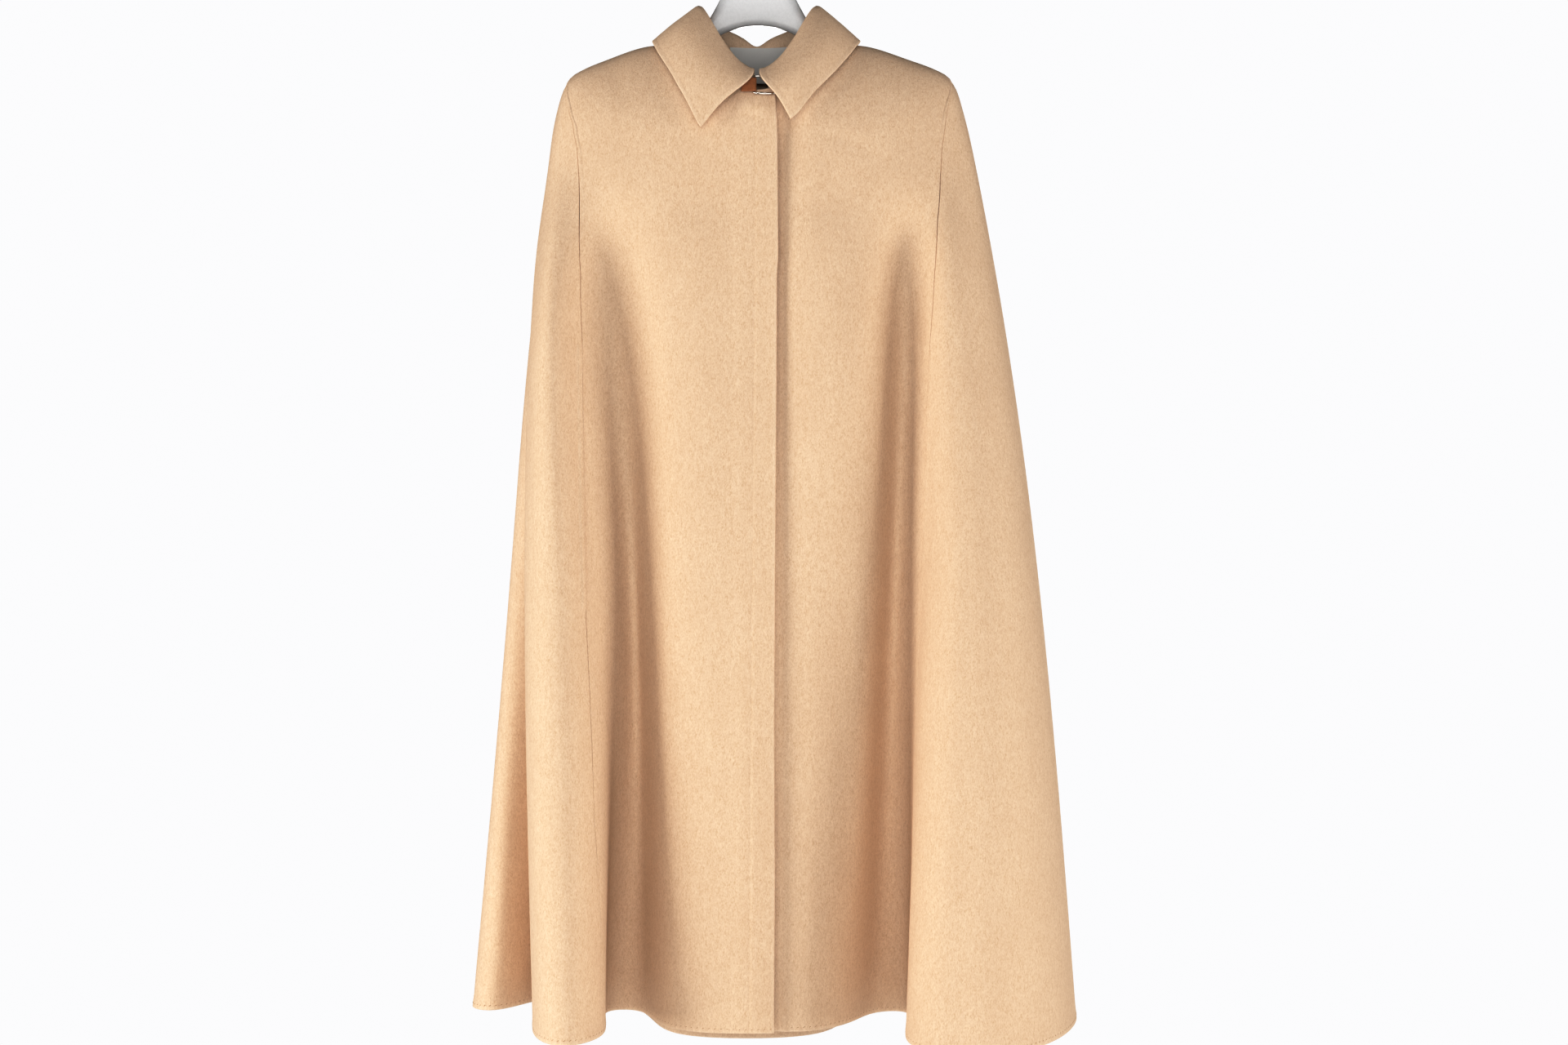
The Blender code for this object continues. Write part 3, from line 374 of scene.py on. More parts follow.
def oval(angles, ring):
    """Points of one shoulder ring at angles counted from the centre front towards +X."""
    sine, cosine = np.sin(angles), np.cos(angles)
    power = 2 / ring["squareness"]
    half_width = np.where(sine > 0, ring["right"], ring["left"])
    half_depth = np.where(cosine > 0, ring["front"], ring["back"])
    dip = np.where(cosine > 0, ring["front_z"], ring["back_z"]) - ring["side_z"]
    x = half_width * np.sign(sine) * np.abs(sine) ** power
    y = -half_depth * np.sign(cosine) * np.abs(cosine) ** power
    return np.stack([x, y, ring["side_z"] + dip * cosine ** 2], -1)


def named(columns, row):
    return dict(zip(columns, row))


def cape_rings():
    """Each ring of the cape as its reach, its knots, its points and its bends."""
    folds = [named(FOLD_COLUMNS, row) for row in FOLDS]
    angles = np.radians([fold["angle"] for fold in folds])
    rings = []
    for row in SHOULDER_RINGS:
        ring = named(RING_COLUMNS, row)
        rings.append((ring["reach"], oval(angles, ring)))
    for fold in folds:
        fold.update(chest_z=CHEST_Z, waist_z=WAIST_Z)
    for level, reach in (("chest", CHEST_REACH), ("waist", WAIST_REACH), ("hem", HEM_REACH)):
        rings.append((reach, np.array([[fold[f"{level}_{axis}"] for axis in "xyz"] for fold in folds])))
    fitted = []
    for reach, points in rings:
        loop = np.vstack([points, points[:1]])
        spans = np.sqrt(np.linalg.norm(np.diff(loop, axis=0), axis=1))
        knots = np.insert(np.cumsum(spans), 0, 0)
        fitted.append((reach, knots, points, bends_through(knots, points, True)))
    return fitted


CAPE_RINGS = cape_rings()
RING_REACHES = np.array([ring[0] for ring in CAPE_RINGS])


def cape(turn, reach):
    """Points of the cape's outer face at arrays of turns and reaches of one shape."""
    turn, reach = np.broadcast_arrays(np.asarray(turn, float), np.asarray(reach, float))
    flat_turn = turn.ravel() % FOLD_COUNT
    flat_reach = reach.ravel()
    i = np.floor(flat_turn).astype(int) % FOLD_COUNT
    after = (i + 1) % FOLD_COUNT
    share = (flat_turn % 1)[:, None]
    lines = []
    for _, knots, points, bends in CAPE_RINGS:
        step = (knots[i + 1] - knots[i])[:, None]
        lines.append(cubic(points[i], points[after], bends[i], bends[after], step, share))
    lines = np.stack(lines)
    count = len(lines)
    bends = bends_through(RING_REACHES, lines.reshape(count, -1), False).reshape(lines.shape)
    k = np.clip(np.searchsorted(RING_REACHES, flat_reach, side="right") - 1, 0, count - 2)
    above = k, np.arange(len(flat_reach))
    below = k + 1, above[1]
    step = (RING_REACHES[k + 1] - RING_REACHES[k])[:, None]
    share = (flat_reach - RING_REACHES[k])[:, None] / step
    found = cubic(lines[above], lines[below], bends[above], bends[below], step, share)
    return found.reshape(turn.shape + (3,))


def cape_down(turn, reach):
    """Unit vectors down the cloth."""
    return unit(cape(turn, reach + REACH_STEP) - cape(turn, reach - REACH_STEP))


def cape_across(turn, reach):
    """Vectors round the cloth for one whole turn step."""
    return (cape(turn + TURN_STEP, reach) - cape(turn - TURN_STEP, reach)) / (2 * TURN_STEP)


def cape_outward(turn, reach):
    """Unit vectors square to the cloth, pointing out of the body."""
    return unit(np.cross(cape_down(turn, reach), cape_across(turn, reach)))


def ramp(value, start, end):
    """0 before start, 1 after end, and smooth between."""
    share = np.clip((value - start) / (end - start), 0, 1)
    return share * share * (3 - 2 * share)


def bump(value, middle, spread):
    """A soft hill of height 1 round the middle."""
    return np.exp(-((value - middle) / spread) ** 2)


def seam_turn(column, reach):
    """The turn of a long seam, and of the shoulder seam above the side gore."""
    reaches = [row[0] for row in SEAMS]
    turns = [row[SEAM_COLUMNS.index(column)] for row in SEAMS]
    shoulder = RIGHT_SIDE if column.startswith("right") else LEFT_SIDE
    return np.where(reach < GORE_TOP - ROUNDING_ERROR, shoulder, np.interp(reach, reaches, turns))


def slit(reach):
    """1 in the middle of the arm slits, 0 above and below them."""
    middle = (SLIT_TOP + SLIT_BOTTOM) / 2
    half = (SLIT_BOTTOM - SLIT_TOP) / 2
    return np.sqrt(np.clip(1 - ((reach - middle) / half) ** 2, 0, None))


def seam_edge(column, reach, inside):
    """The turns of a panel's edge along a seam: inside is 1 where it starts there, -1 where it ends."""
    turn = seam_turn(column, reach)
    parting = SLIT_PARTING * slit(reach) if column.endswith("front") else 0
    width = np.linalg.norm(cape_across(turn, reach), axis=-1)
    return turn + inside * (SEAM_GAP / 2 + parting) / width


def turn_at_x(x, reach):
    """The turn on the front where the cloth crosses the upright line at x."""
    found = []
    for place, down in zip(np.broadcast_to(x, reach.shape), reach):
        found.append(np.interp(place, cape(FRONT_TURNS, down)[:, 0], FRONT_TURNS))
    return np.array(found)


def places_along(length, middle_count, band=None):
    """Distances along a line: close at both ends, even between, with a fine band at its end."""
    steps = EDGE_STEPS * min(1.0, length / EDGE_ROOM)
    last = length - steps[::-1]
    if band is not None:
        width, count = band
        fine = length - np.linspace(width, steps[-1], count, endpoint=False)
        last = np.concatenate([fine, last])
    middle = np.linspace(steps[-1], last[0], middle_count + 2)[1:-1]
    return np.concatenate([steps, middle, last])


def rounded(inside, rounding):
    """Share of the full thickness at a distance inside a rounded edge."""
    share = np.clip(inside / rounding, 0, 1)
    return np.sqrt(1 - (1 - share) ** 2)


def add_object(name, data, material=None):
    obj = bpy.data.objects.new(name, data)
    if material is not None:
        data.materials.append(material)
    bpy.context.scene.collection.objects.link(obj)
    return obj


def closed_body(name, bm, material):
    """The drawn faces as a smooth object, all of them facing outward."""
    bmesh.ops.recalc_face_normals(bm, faces=bm.faces)
    mesh = bpy.data.meshes.new(name)
    bm.to_mesh(mesh)
    bm.free()
    mesh.shade_smooth()
    return add_object(name, mesh, material)


def stand_for(piece, node):
    """Puts a piece in the place of a node of the part and hides the node."""
    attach(piece, "root")
    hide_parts(node)
    return piece


def shell(name, outer, inner, material, edge_wear=None):
    """One closed thin body between two grids that meet along their borders."""
    rows, columns = outer.shape[:2]
    bm = bmesh.new()
    wear_layer = bm.verts.layers.float.new("wear")
    uv_layer = bm.loops.layers.uv.new("cloth")
    down, along = run_lengths(outer, 0), run_lengths(outer, 1)
    along = along - along[:, columns // 2][:, None]
    places = {}
    front, back = [], []
    for r in range(rows):
        front_row, back_row = [], []
        for c in range(columns):
            vert = bm.verts.new(outer[r, c].tolist())
            places[vert] = (float(along[r, c]), float(-down[r, c]))
            if edge_wear is not None:
                vert[wear_layer] = float(edge_wear[r, c])
            front_row.append(vert)
            if r in (0, rows - 1) or c in (0, columns - 1):
                back_row.append(vert)
            else:
                other = bm.verts.new(inner[r, c].tolist())
                places[other] = places[vert]
                other[wear_layer] = vert[wear_layer]
                back_row.append(other)
        front.append(front_row)
        back.append(back_row)
    for r in range(rows - 1):
        for c in range(columns - 1):
            bm.faces.new((front[r][c], front[r + 1][c], front[r + 1][c + 1], front[r][c + 1]))
            behind = (back[r][c], back[r][c + 1], back[r + 1][c + 1], back[r + 1][c])
            if bm.faces.get(behind) is None:
                bm.faces.new(behind)
    for face in bm.faces:
        for loop in face.loops:
            loop[uv_layer].uv = places[loop.vert]
    return closed_body(name, bm, material)


def crease_lift(turns, reaches):
    """How far the listed creases raise or sink the cloth."""
    lift = np.zeros_like(turns)
    for row in CREASES:
        crease = named(CREASE_COLUMNS, row)
        width = np.linalg.norm(cape_across(crease["turn"], crease["reach"]))
        turn_away = (turns - crease["turn"] + FOLD_COUNT / 2) % FOLD_COUNT - FOLD_COUNT / 2
        across, down = turn_away * width, reaches - crease["reach"]
        run = math.radians(crease["run"])
        far = across * math.sin(run) + down * math.cos(run)
        beside = across * math.cos(run) - down * math.sin(run)
        ends = np.clip(1 - (far / crease["half_length"]) ** 2, 0, None) ** 2
        lift += crease["rise"] * ends * bump(beside, 0, crease["half_width"])
    return lift


def cloth_grid(first, last, reach, middle_count, band=None):
    """Turns of a panel's grid, at true distances from its two long edges, with those distances."""
    tries = first[:, None] + (last - first)[:, None] * np.linspace(0, 1, TRIES_ACROSS)
    lengths = run_lengths(cape(tries, reach[:, None]), 1)
    turns, starts, ends = [], [], []
    for row_tries, row_lengths in zip(tries, lengths):
        places = places_along(row_lengths[-1], middle_count, band)
        turns.append(np.interp(places, row_lengths, row_tries))
        starts.append(places)
        ends.append(row_lengths[-1] - places)
    return np.array(turns), np.array(starts), np.array(ends)


def panel(name, first, last, reach, middle_count, material, lift, extra=None,
          rounds=(SEWN_ROUND, SEWN_ROUND), band=None):
    """A cut piece of the cape as a thin closed shell, on the surface of its solid."""
    turns, start, end = cloth_grid(first, last, reach, middle_count, band)
    reaches = np.repeat(reach[:, None], turns.shape[1], axis=1)
    points = cape(turns, reaches)
    outward = cape_outward(turns, reaches)
    hem = HEM_REACH - reaches
    top = reaches - reach[0]
    rise = lift(points, reaches, start, end) + crease_lift(turns, reaches)
    rise = rise + HEM_BAND_RISE * (1 - ramp(hem, HEM_BAND - HEM_BAND_SLOPE, HEM_BAND))
    thick = np.full_like(turns, CLOTH) if extra is None else CLOTH + extra(points)
    profile = rounded(start, rounds[0]) * rounded(end, rounds[1])
    profile = profile * rounded(hem, FREE_ROUND) * rounded(top, SEWN_ROUND)
    middle = points + outward * (rise - thick / 2)[..., None]
    half = outward * (thick / 2 * profile)[..., None]
    wear = bump(hem, 0, HEM_WEAR)
    for distance, rounding in ((start, rounds[0]), (end, rounds[1])):
        if rounding == FREE_ROUND:
            wear = np.maximum(wear, bump(distance, 0, HEM_WEAR))
    return shell(name, middle + half, middle - half, material, wear)


def placket(points):
    """1 on the thicker edge of the overlapping front, 0 away from it."""
    inner_edge = CLOSING_X - PLACKET_WIDTH
    return ramp(points[..., 0], inner_edge - PLACKET_SLOPE, inner_edge)


def underlap_sink(points, reach):
    """How far the underlying front lies behind the cape's own surface near the closing edge."""
    x = points[..., 0]
    spread = SPREAD_AT_NECK + SPREAD_MORE * ramp(reach, 0.0, SPREAD_REACH)
    at_neck = ramp(reach, NECK_SINK_STARTS, NECK_SINK_FULL)
    depth = UNDERLAP_SINK + NECK_SINK * at_neck * (1 - ramp(reach, NECK_SINK_FADES, NECK_SINK_ENDS))
    crevice = CREVICE_DEPTH * ramp(reach, CREVICE_STARTS, CREVICE_FULL)
    crevice = crevice * bump(x, CLOSING_X + CREVICE_MIDDLE, CREVICE_SPREAD)
    return -depth * (1 - ramp(x, CLOSING_X + SINK_STARTS, CLOSING_X + spread)) - crevice


def front_seam_lift(reach, to_seam):
    """The felled ridge beside a front seam and the sunk edge along the arm slit, on a front panel."""
    fade = 1 - ramp(reach, SEAM_RIDGE_FULL, SEAM_RIDGE_END)
    begin = ramp(reach, SEAM_RIDGE_STARTS, SEAM_RIDGE_RISEN)
    beside = 1 - ramp(to_seam, SEAM_RIDGE_FLAT, SEAM_RIDGE_WIDTH)
    sunk = SLIT_PANEL_SINK * slit(reach) * (1 - ramp(to_seam, SLIT_SINK_FLAT, SLIT_SINK_WIDTH))
    return SEAM_RIDGE_RISE * fade * begin * beside - sunk


def gore_seam_lift(reach, to_seam, side):
    """The raised strip along the arm slit, on a side gore."""
    strip = 1 - ramp(to_seam, SLIT_STRIP_FLAT, SLIT_STRIP_WIDTH)
    return SLIT_STRIP_RISE[side] * ramp(slit(reach), 0.0, SLIT_STRIP_FULL) * strip


def closing_lift(points):
    """The raised placket, with the faint line of the facing's inner edge beside it."""
    x, z = points[..., 0], points[..., 2]
    share = ramp(z, FACING_TOP_Z, FACING_BOTTOM_Z)
    line = CLOSING_X - (FACING_TOP + (FACING_BOTTOM - FACING_TOP) * share)
    lift = PLACKET_LIFT * placket(points)
    lift = lift + FACING_RISE * ramp(x, line - FACING_SPREAD, line + FACING_SPREAD)
    return lift - FACING_GROOVE * bump(x, line - FACING_SPREAD, FACING_SPREAD)


def build_panels(wool):
    """The two fronts, the two side gores and the back."""
    full = places_along(HEM_REACH, LONG_ROWS)
    low = GORE_TOP + places_along(HEM_REACH - GORE_TOP, GORE_ROWS)
    heights = cape(np.zeros_like(full), full)[:, 2]
    closing_z = [-z for z, _ in CLOSING_LINE]
    closing_x = np.interp(-heights, closing_z, [x for _, x in CLOSING_LINE])
    pieces = {}
    pieces["front_right"] = panel(
        "cape_front_right", seam_edge("left_front", full, 1), turn_at_x(closing_x, full) + FOLD_COUNT,
        full, RIGHT_FRONT_COLUMNS, wool,
        lift=lambda p, r, start, end: closing_lift(p) + front_seam_lift(r, start),
        extra=lambda p: PLACKET_EXTRA * placket(p),
        rounds=(SEWN_ROUND, FREE_ROUND), band=CLOSING_BAND)
    pieces["front_left"] = panel(
        "cape_front_left", turn_at_x(CLOSING_X - UNDERLAP, full), seam_edge("right_front", full, -1),
        full, LEFT_FRONT_COLUMNS, wool,
        lift=lambda p, r, start, end: underlap_sink(p, r) + front_seam_lift(r, end),
        rounds=(FREE_ROUND, SEWN_ROUND))
    pieces["back"] = panel(
        "cape_back", seam_edge("right_back", full, 1), seam_edge("left_back", full, -1),
        full, BACK_COLUMNS, wool,
        lift=lambda p, r, start, end: np.zeros_like(r))
    pieces["side_left"] = panel(
        "cape_side_left", seam_edge("right_front", low, 1), seam_edge("right_back", low, -1),
        low, GORE_COLUMNS, wool,
        lift=lambda p, r, start, end: gore_seam_lift(r, start, "right"))
    pieces["side_right"] = panel(
        "cape_side_right", seam_edge("left_back", low, 1), seam_edge("left_front", low, -1),
        low, GORE_COLUMNS, wool,
        lift=lambda p, r, start, end: gore_seam_lift(r, end, "left"))
    for node, piece in pieces.items():
        stand_for(piece, node)
    return pieces


def fold_point(angle):
    """The top of the collar's fold at an angle, with a dip at the centre back."""
    sine, cosine = math.sin(angle), math.cos(angle)
    x = FOLD_SIDE * sine
    if cosine > 0:
        drop = FOLD_FRONT_DROP * cosine ** FRONT_DROP_POWER
        return np.array([x, -FOLD_FRONT * cosine, FOLD_SIDE_Z - drop])
    notch = BACK_NOTCH * math.exp(-((x - BACK_NOTCH_X) / BACK_NOTCH_WIDTH) ** 2)
    return np.array([x, -FOLD_BACK * cosine, FOLD_SIDE_Z - FOLD_BACK_DROP * cosine ** 2 - notch])


def turn_of_angle(angle):
    """The turn of the neck ring at an angle that is counted backwards from the centre front."""
    angles = [fold[1] for fold in FOLDS] + [FOLDS[0][1] + 360]
    return float(np.interp((angle - angles[0]) % 360 + angles[0], angles, range(FOLD_COUNT + 1)))


def collar_section(seam_angle, fold_angle, turn, reach, height, swell):
    """The middle line of the collar from the neck seam over the fold to the outer edge."""
    neck = turn_of_angle(seam_angle), 0.0
    up = -cape_down(*neck)
    foot = cape(*neck) - cape_outward(*neck) * CLOTH / 2 + up * COLLAR_SEAM
    angle = math.radians(fold_angle)
    out = unit(np.array([math.sin(angle) / FOLD_SIDE, -math.cos(angle) / FOLD_FRONT, 0.0]))
    down = np.array([0.0, 0.0, -1.0])
    top = fold_point(angle)
    lie = cape_outward(turn, reach)
    edge = cape(turn, reach) + lie * (height + COLLAR_CLOTH / 2)
    stand = foot + up * STAND_RISE
    inside = top - out * STAND_LEAN + down * STAND_DROP
    over = top + out * ROLL_OUT + down * ROLL_DROP
    middle = (over + edge) / 2 + (out + lie) / 2 * swell
    return smooth_line([foot, stand, inside, top, over, middle, edge], COLLAR_LINE_POINTS)


def build_collar(wool):
    """The shirt collar, one folded piece from the neck seam to the edge of the leaves."""
    stations = [named(COLLAR_COLUMNS, row) for row in COLLAR]
    table = np.array([[station[column] for column in COLLAR_COLUMNS[1:]] for station in stations])
    scaled = table * STATION_SCALE
    knots = run_lengths(scaled)
    per_metre = (knots[1] - knots[0]) / FIRST_STATION_STEP
    places = places_along(knots[-1] / per_metre, COLLAR_ROWS) * per_metre
    rows, starts, ends = [], [], []
    for station in smooth_places(scaled, knots, places) / STATION_SCALE:
        line = collar_section(*station)
        lengths = run_lengths(line)
        along = places_along(lengths[-1], COLLAR_COLUMN_COUNT)
        rows.append(np.stack([np.interp(along, lengths, line[:, k]) for k in range(3)], -1))
        starts.append(along)
        ends.append(lengths[-1] - along)
    middle, start, end = np.array(rows), np.array(starts), np.array(ends)
    left = run_lengths(middle)
    right = left[-1] - left
    square = unit(np.cross(np.gradient(middle, axis=0), np.gradient(middle, axis=1)))
    profile = rounded(start, SEWN_ROUND)
    for free_edge in (end, left, right):
        profile = profile * rounded(free_edge, FREE_ROUND)
    nearest = np.minimum(np.minimum(end, left), right)
    groove = COLLAR_EDGE_GROOVE * bump(nearest, COLLAR_GROOVE_INSIDE, COLLAR_GROOVE_SPREAD)
    half = square * (COLLAR_CLOTH / 2 * profile - groove)[..., None]
    wear = bump(nearest, 0, COLLAR_WEAR)
    return stand_for(shell("cape_collar", middle + half, middle - half, wool, wear), "collar")


def throat(sideways, out, down):
    """A point on the neck: sideways round it, out from it and down it, in metres."""
    angle = sideways / THROAT_ROUND
    radius = THROAT_ROUND + out + THROAT_LEAN * down
    y = THROAT_ROUND - THROAT_FRONT - radius * math.cos(angle)
    return np.array([radius * math.sin(angle), y, THROAT_Z - down])


def join_rings(bm, rings, closed):
    """Faces from each ring of corners to the next, with a cap at both ends if they don't close."""
    for here, there in zip(rings, rings[1:] + rings[:1] if closed else rings[1:]):
        for i in range(len(here)):
            after = (i + 1) % len(here)
            bm.faces.new((here[i], here[after], there[after], there[i]))
    if not closed:
        bm.faces.new(rings[0])
        bm.faces.new(rings[-1])


def tube(name, points, radius, closed, material):
    """A round wire along points, closed into a ring or domed at its ends."""
    points = np.asarray(points, float)
    if closed:
        runs = unit(np.roll(points, -1, axis=0) - np.roll(points, 1, axis=0))
    else:
        runs = unit(np.gradient(points, axis=0))
    stations = [(point, run, radius) for point, run in zip(points, runs)]
    if not closed:
        for out, width in DOME:
            first, last = points[0] - runs[0] * radius * out, points[-1] + runs[-1] * radius * out
            stations.insert(0, (first, runs[0], radius * width))
            stations.append((last, runs[-1], radius * width))
    bm = bmesh.new()
    rings = []
    for point, run, width in stations:
        side = unit(np.cross(run, (0, 1, 0)))
        other = np.cross(run, side)
        ring = []
        for i in range(WIRE_SIDES):
            angle = 2 * math.pi * i / WIRE_SIDES
            corner = point + width * (math.cos(angle) * side + math.sin(angle) * other)
            ring.append(bm.verts.new(corner))
        rings.append(ring)
    join_rings(bm, rings, closed)
    return closed_body(name, bm, material)


def build_ring(metal):
    """A flat rectangular ring with round corners, its top and bottom slightly bowed."""
    middle = (RING_LEFT + RING_RIGHT) / 2
    corner_x = (RING_RIGHT - RING_LEFT) / 2 - RING_CORNER
    flat_down = RING_HALF_HEIGHT - RING_BOW
    path = []
    for quarter, (side, end) in enumerate(((1, 1), (-1, 1), (-1, -1), (1, -1))):
        for i in range(CORNER_STEPS + 1):
            angle = math.pi / 2 * (quarter + i / CORNER_STEPS)
            place = middle + side * corner_x + RING_CORNER * math.cos(angle)
            path.append((place, end * (flat_down - RING_CORNER) + RING_CORNER * math.sin(angle)))
        if quarter % 2 == 0:
            for share in np.linspace(-1, 1, BOW_POINTS)[1:-1]:
                bow = RING_BOW * (1 - share ** 2)
                path.append((middle + side * share * corner_x, end * (flat_down + bow)))
    points = [throat(sideways, 0.0, down) for sideways, down in path]
    return stand_for(tube("neck_ring", points, RING_WIRE, True, metal), "ring")


def build_tab(name, node, bar, toward, leather):
    """A leather tab folded round one bar of the ring, its two layers running away under the collar."""
    loop = RING_WIRE + SEAM_GAP + LEATHER / 2
    tail = SEAM_GAP / 2 + LEATHER / 2
    layer = [(bar + toward * far, tail * parted) for far, parted in TAB_LAYER]
    bend = []
    for angle in np.radians(TAB_BEND):
        bend.append((bar - toward * loop * math.cos(angle), loop * math.sin(angle)))
    line = smooth_line(layer + bend + [(s, -out) for s, out in reversed(layer)], TAB_POINTS)
    runs = unit(np.gradient(line, axis=0))
    sides = np.stack([runs[:, 1], -runs[:, 0]], -1)
    lengths = run_lengths(line)
    faces = []
    for sign in (1, -1):
        rows = []
        for inside in places_along(2 * TAB_HALF_WIDTH, TAB_ROWS):
            side_round = rounded(min(inside, 2 * TAB_HALF_WIDTH - inside), TAB_ROUND)
            row = []
            for place, square, length in zip(line, sides, lengths):
                end_round = rounded(min(length, lengths[-1] - length), TAB_ROUND)
                away = place + sign * square * LEATHER / 2 * side_round * end_round
                row.append(throat(away[0], away[1], inside - TAB_HALF_WIDTH))
            rows.append(row)
        faces.append(np.array(rows))
    return stand_for(shell(name, *faces, leather), node)


def build_label(tape):
    """A blank woven label, hanging from the inside of the collar down over the back."""
    width = places_along(2 * LABEL_HALF_WIDTH, LABEL_COLUMNS) - LABEL_HALF_WIDTH
    drop, run = LABEL_TOP_Z - LABEL_BOTTOM_Z, LABEL_BOTTOM_Y - LABEL_TOP_Y
    height = math.hypot(drop, run)
    rows = []
    for place in places_along(height, LABEL_ROWS):
        share = place / height
        wave = LABEL_WAVE * np.sin(width * LABEL_WAVES + LABEL_WAVE_START)
        wave = wave * math.sin(math.pi * share) * share
        y = LABEL_TOP_Y + run * share - width ** 2 / (2 * LABEL_ROUND) + wave
        z = np.full_like(width, LABEL_TOP_Z - drop * share)
        rows.append(np.stack([width, y - LABEL_THICKNESS / 2, z], -1))
    middle = np.array(rows)
    profile = np.zeros(middle.shape[:2])
    profile[1:-1, 1:-1] = 1
    half = np.array([0.0, LABEL_THICKNESS / 2, 0.0]) * profile[..., None]
    return stand_for(shell("neck_label", middle - half, middle + half, tape), "label")


def shoulder_top(x):
    """The height of the cloth's outer face on the shoulder line at x."""
    turn = float(RIGHT_SIDE if x > 0 else LEFT_SIDE)
    line = cape(turn, SHOULDER_REACHES)
    return float(np.interp(abs(x), np.abs(line[:, 0]), line[:, 2]))


def hanger_sections():
    """The width, top, bottom and half depth of the hanger's sections, from one end to the other."""
    sizes = [named(HANGER_COLUMNS, row) for row in HANGER_BELL]
    rows = [(size["x"], size["top"], size["bottom"], size["half_depth"]) for size in sizes]
    for i, x in enumerate(ARM_XS):
        share = i / (len(ARM_XS) - 1)
        top = min(shoulder_top(x), shoulder_top(-x)) - CLOTH - ARM_CLEARANCE
        height = ARM_HEIGHT_START + (ARM_HEIGHT_END - ARM_HEIGHT_START) * share
        depth = ARM_DEPTH_START + (ARM_DEPTH_END - ARM_DEPTH_START) * share
        rows.append((x, top, top - height, depth))
    rows = np.array([(-x, *rest) for x, *rest in reversed(rows[1:])] + rows, float)
    places = np.linspace(rows[0, 0], rows[-1, 0], HANGER_SECTIONS)
    smooth = np.stack([np.interp(places, rows[:, 0], rows[:, k]) for k in range(4)], -1)
    for _ in range(2):
        smooth[1:-1, 1:] = (smooth[:-2, 1:] + 2 * smooth[1:-1, 1:] + smooth[2:, 1:]) / 4
    return smooth


def build_hanger(plastic):
    """The moulded hanger: sections across its length, lofted, with a rim along the bell's underside."""
    bm = bmesh.new()
    rings = []
    for x, top, bottom, depth in hanger_sections():
        end_in = HANGER_END - min(HANGER_END, ARM_XS[-1] - abs(x))
        end_round = math.sqrt(max(0.0, 1 - (end_in / HANGER_END) ** 2))
        shrink = end_round * (1 - HANGER_END_SIZE) + HANGER_END_SIZE
        bell = float(ramp(BELL_EDGE - abs(x), 0.0, BELL_BLEND))
        ring = []
        for i in range(HANGER_SIDES):
            angle = 2 * math.pi * i / HANGER_SIDES
            up, out = math.cos(angle), math.sin(angle)
            tall = math.copysign(abs(up) ** HANGER_TALL_POWER, up)
            flat = math.copysign(abs(out) ** HANGER_FLAT_POWER, out)
            z = (top + bottom) / 2 + (top - bottom) / 2 * tall * shrink
            groove = 1 - math.exp(-((z - bottom - RIM_HEIGHT) / RIM_SPREAD) ** 4)
            rim = 1 - RIM_DEPTH * groove * bell
            ring.append(bm.verts.new((x, depth * flat * rim * shrink, z)))
        rings.append(ring)
    join_rings(bm, rings, False)
    piece = closed_body("moulded_hanger", bm, plastic)
    piece.data.set_sharp_from_angle(angle=HANGER_SHARP)
    return stand_for(piece, "hanger")


def build_hook(metal):
    """The wire hook whose crown is inside the origin, on a stem from the top of the bell."""
    radius = HOOK_INSIDE + HOOK_WIRE
    bow = []
    for angle in np.radians(HOOK_BOW):
        bow.append((radius * math.cos(angle), 0.0, -HOOK_INSIDE + radius * math.sin(angle)))
    line = smooth_line(list(HOOK_STEM) + bow, HOOK_POINTS)
    return stand_for(tube("wire_hook", line, HOOK_WIRE, False, metal), "hook")


def plug(tree, node, values):
    """Sets a node's inputs, each to a value or a colour, or links it to the output that is given."""
    for name, value in values.items():
        socket = node.inputs[name]
        if isinstance(value, bpy.types.NodeSocket):
            tree.links.new(value, socket)
        elif socket.type == "RGBA":
            socket.default_value = (*value, 1)
        else:
            socket.default_value = value


def output_of(tree, kind, output, values, **settings):
    """One output of a new node with these inputs and settings."""
    node = tree.nodes.new(kind)
    for name, value in settings.items():
        setattr(node, name, value)
    plug(tree, node, values)
    return node.outputs[output]


def new_material(name):
    material = bpy.data.materials.new(name)
    material.use_nodes = True
    return material, material.node_tree


def finish_material(material, values, height=None, distance=0.0, strength=0.5):
    """Fills in the inputs of the material's shader, with a bump of the height."""
    tree = material.node_tree
    if height is not None:
        relief = {"Distance": distance, "Strength": strength, "Height": height}
        values["Normal"] = output_of(tree, "ShaderNodeBump", "Normal", relief)
    plug(tree, tree.nodes["Principled BSDF"], values)
    return material


def scaled_coordinates(tree, scale=(1, 1, 1)):
    place = tree.nodes.new("ShaderNodeTexCoord").outputs["Object"]
    return output_of(tree, "ShaderNodeMapping", "Vector", {"Scale": scale, "Vector": place})


def noise(tree, vector, scale, detail, roughness):
    values = {"Scale": scale, "Detail": detail, "Roughness": roughness, "Vector": vector}
    return output_of(tree, "ShaderNodeTexNoise", "Fac", values)


def mix_colour(tree, factor, first, second):
    """Mixes two colours, each a socket or three numbers, by a socket."""
    values = {"Factor": factor, MIX_FIRST: first, MIX_SECOND: second}
    return output_of(tree, "ShaderNodeMix", MIX_RESULT, values, data_type="RGBA")


def spread(tree, value, low, high, to_low=0.0, to_high=1.0):
    """Stretches a range of a value to another range."""
    limits = {"From Min": low, "From Max": high, "To Min": to_low, "To Max": to_high}
    return output_of(tree, "ShaderNodeMapRange", "Result", {"Value": value, **limits})


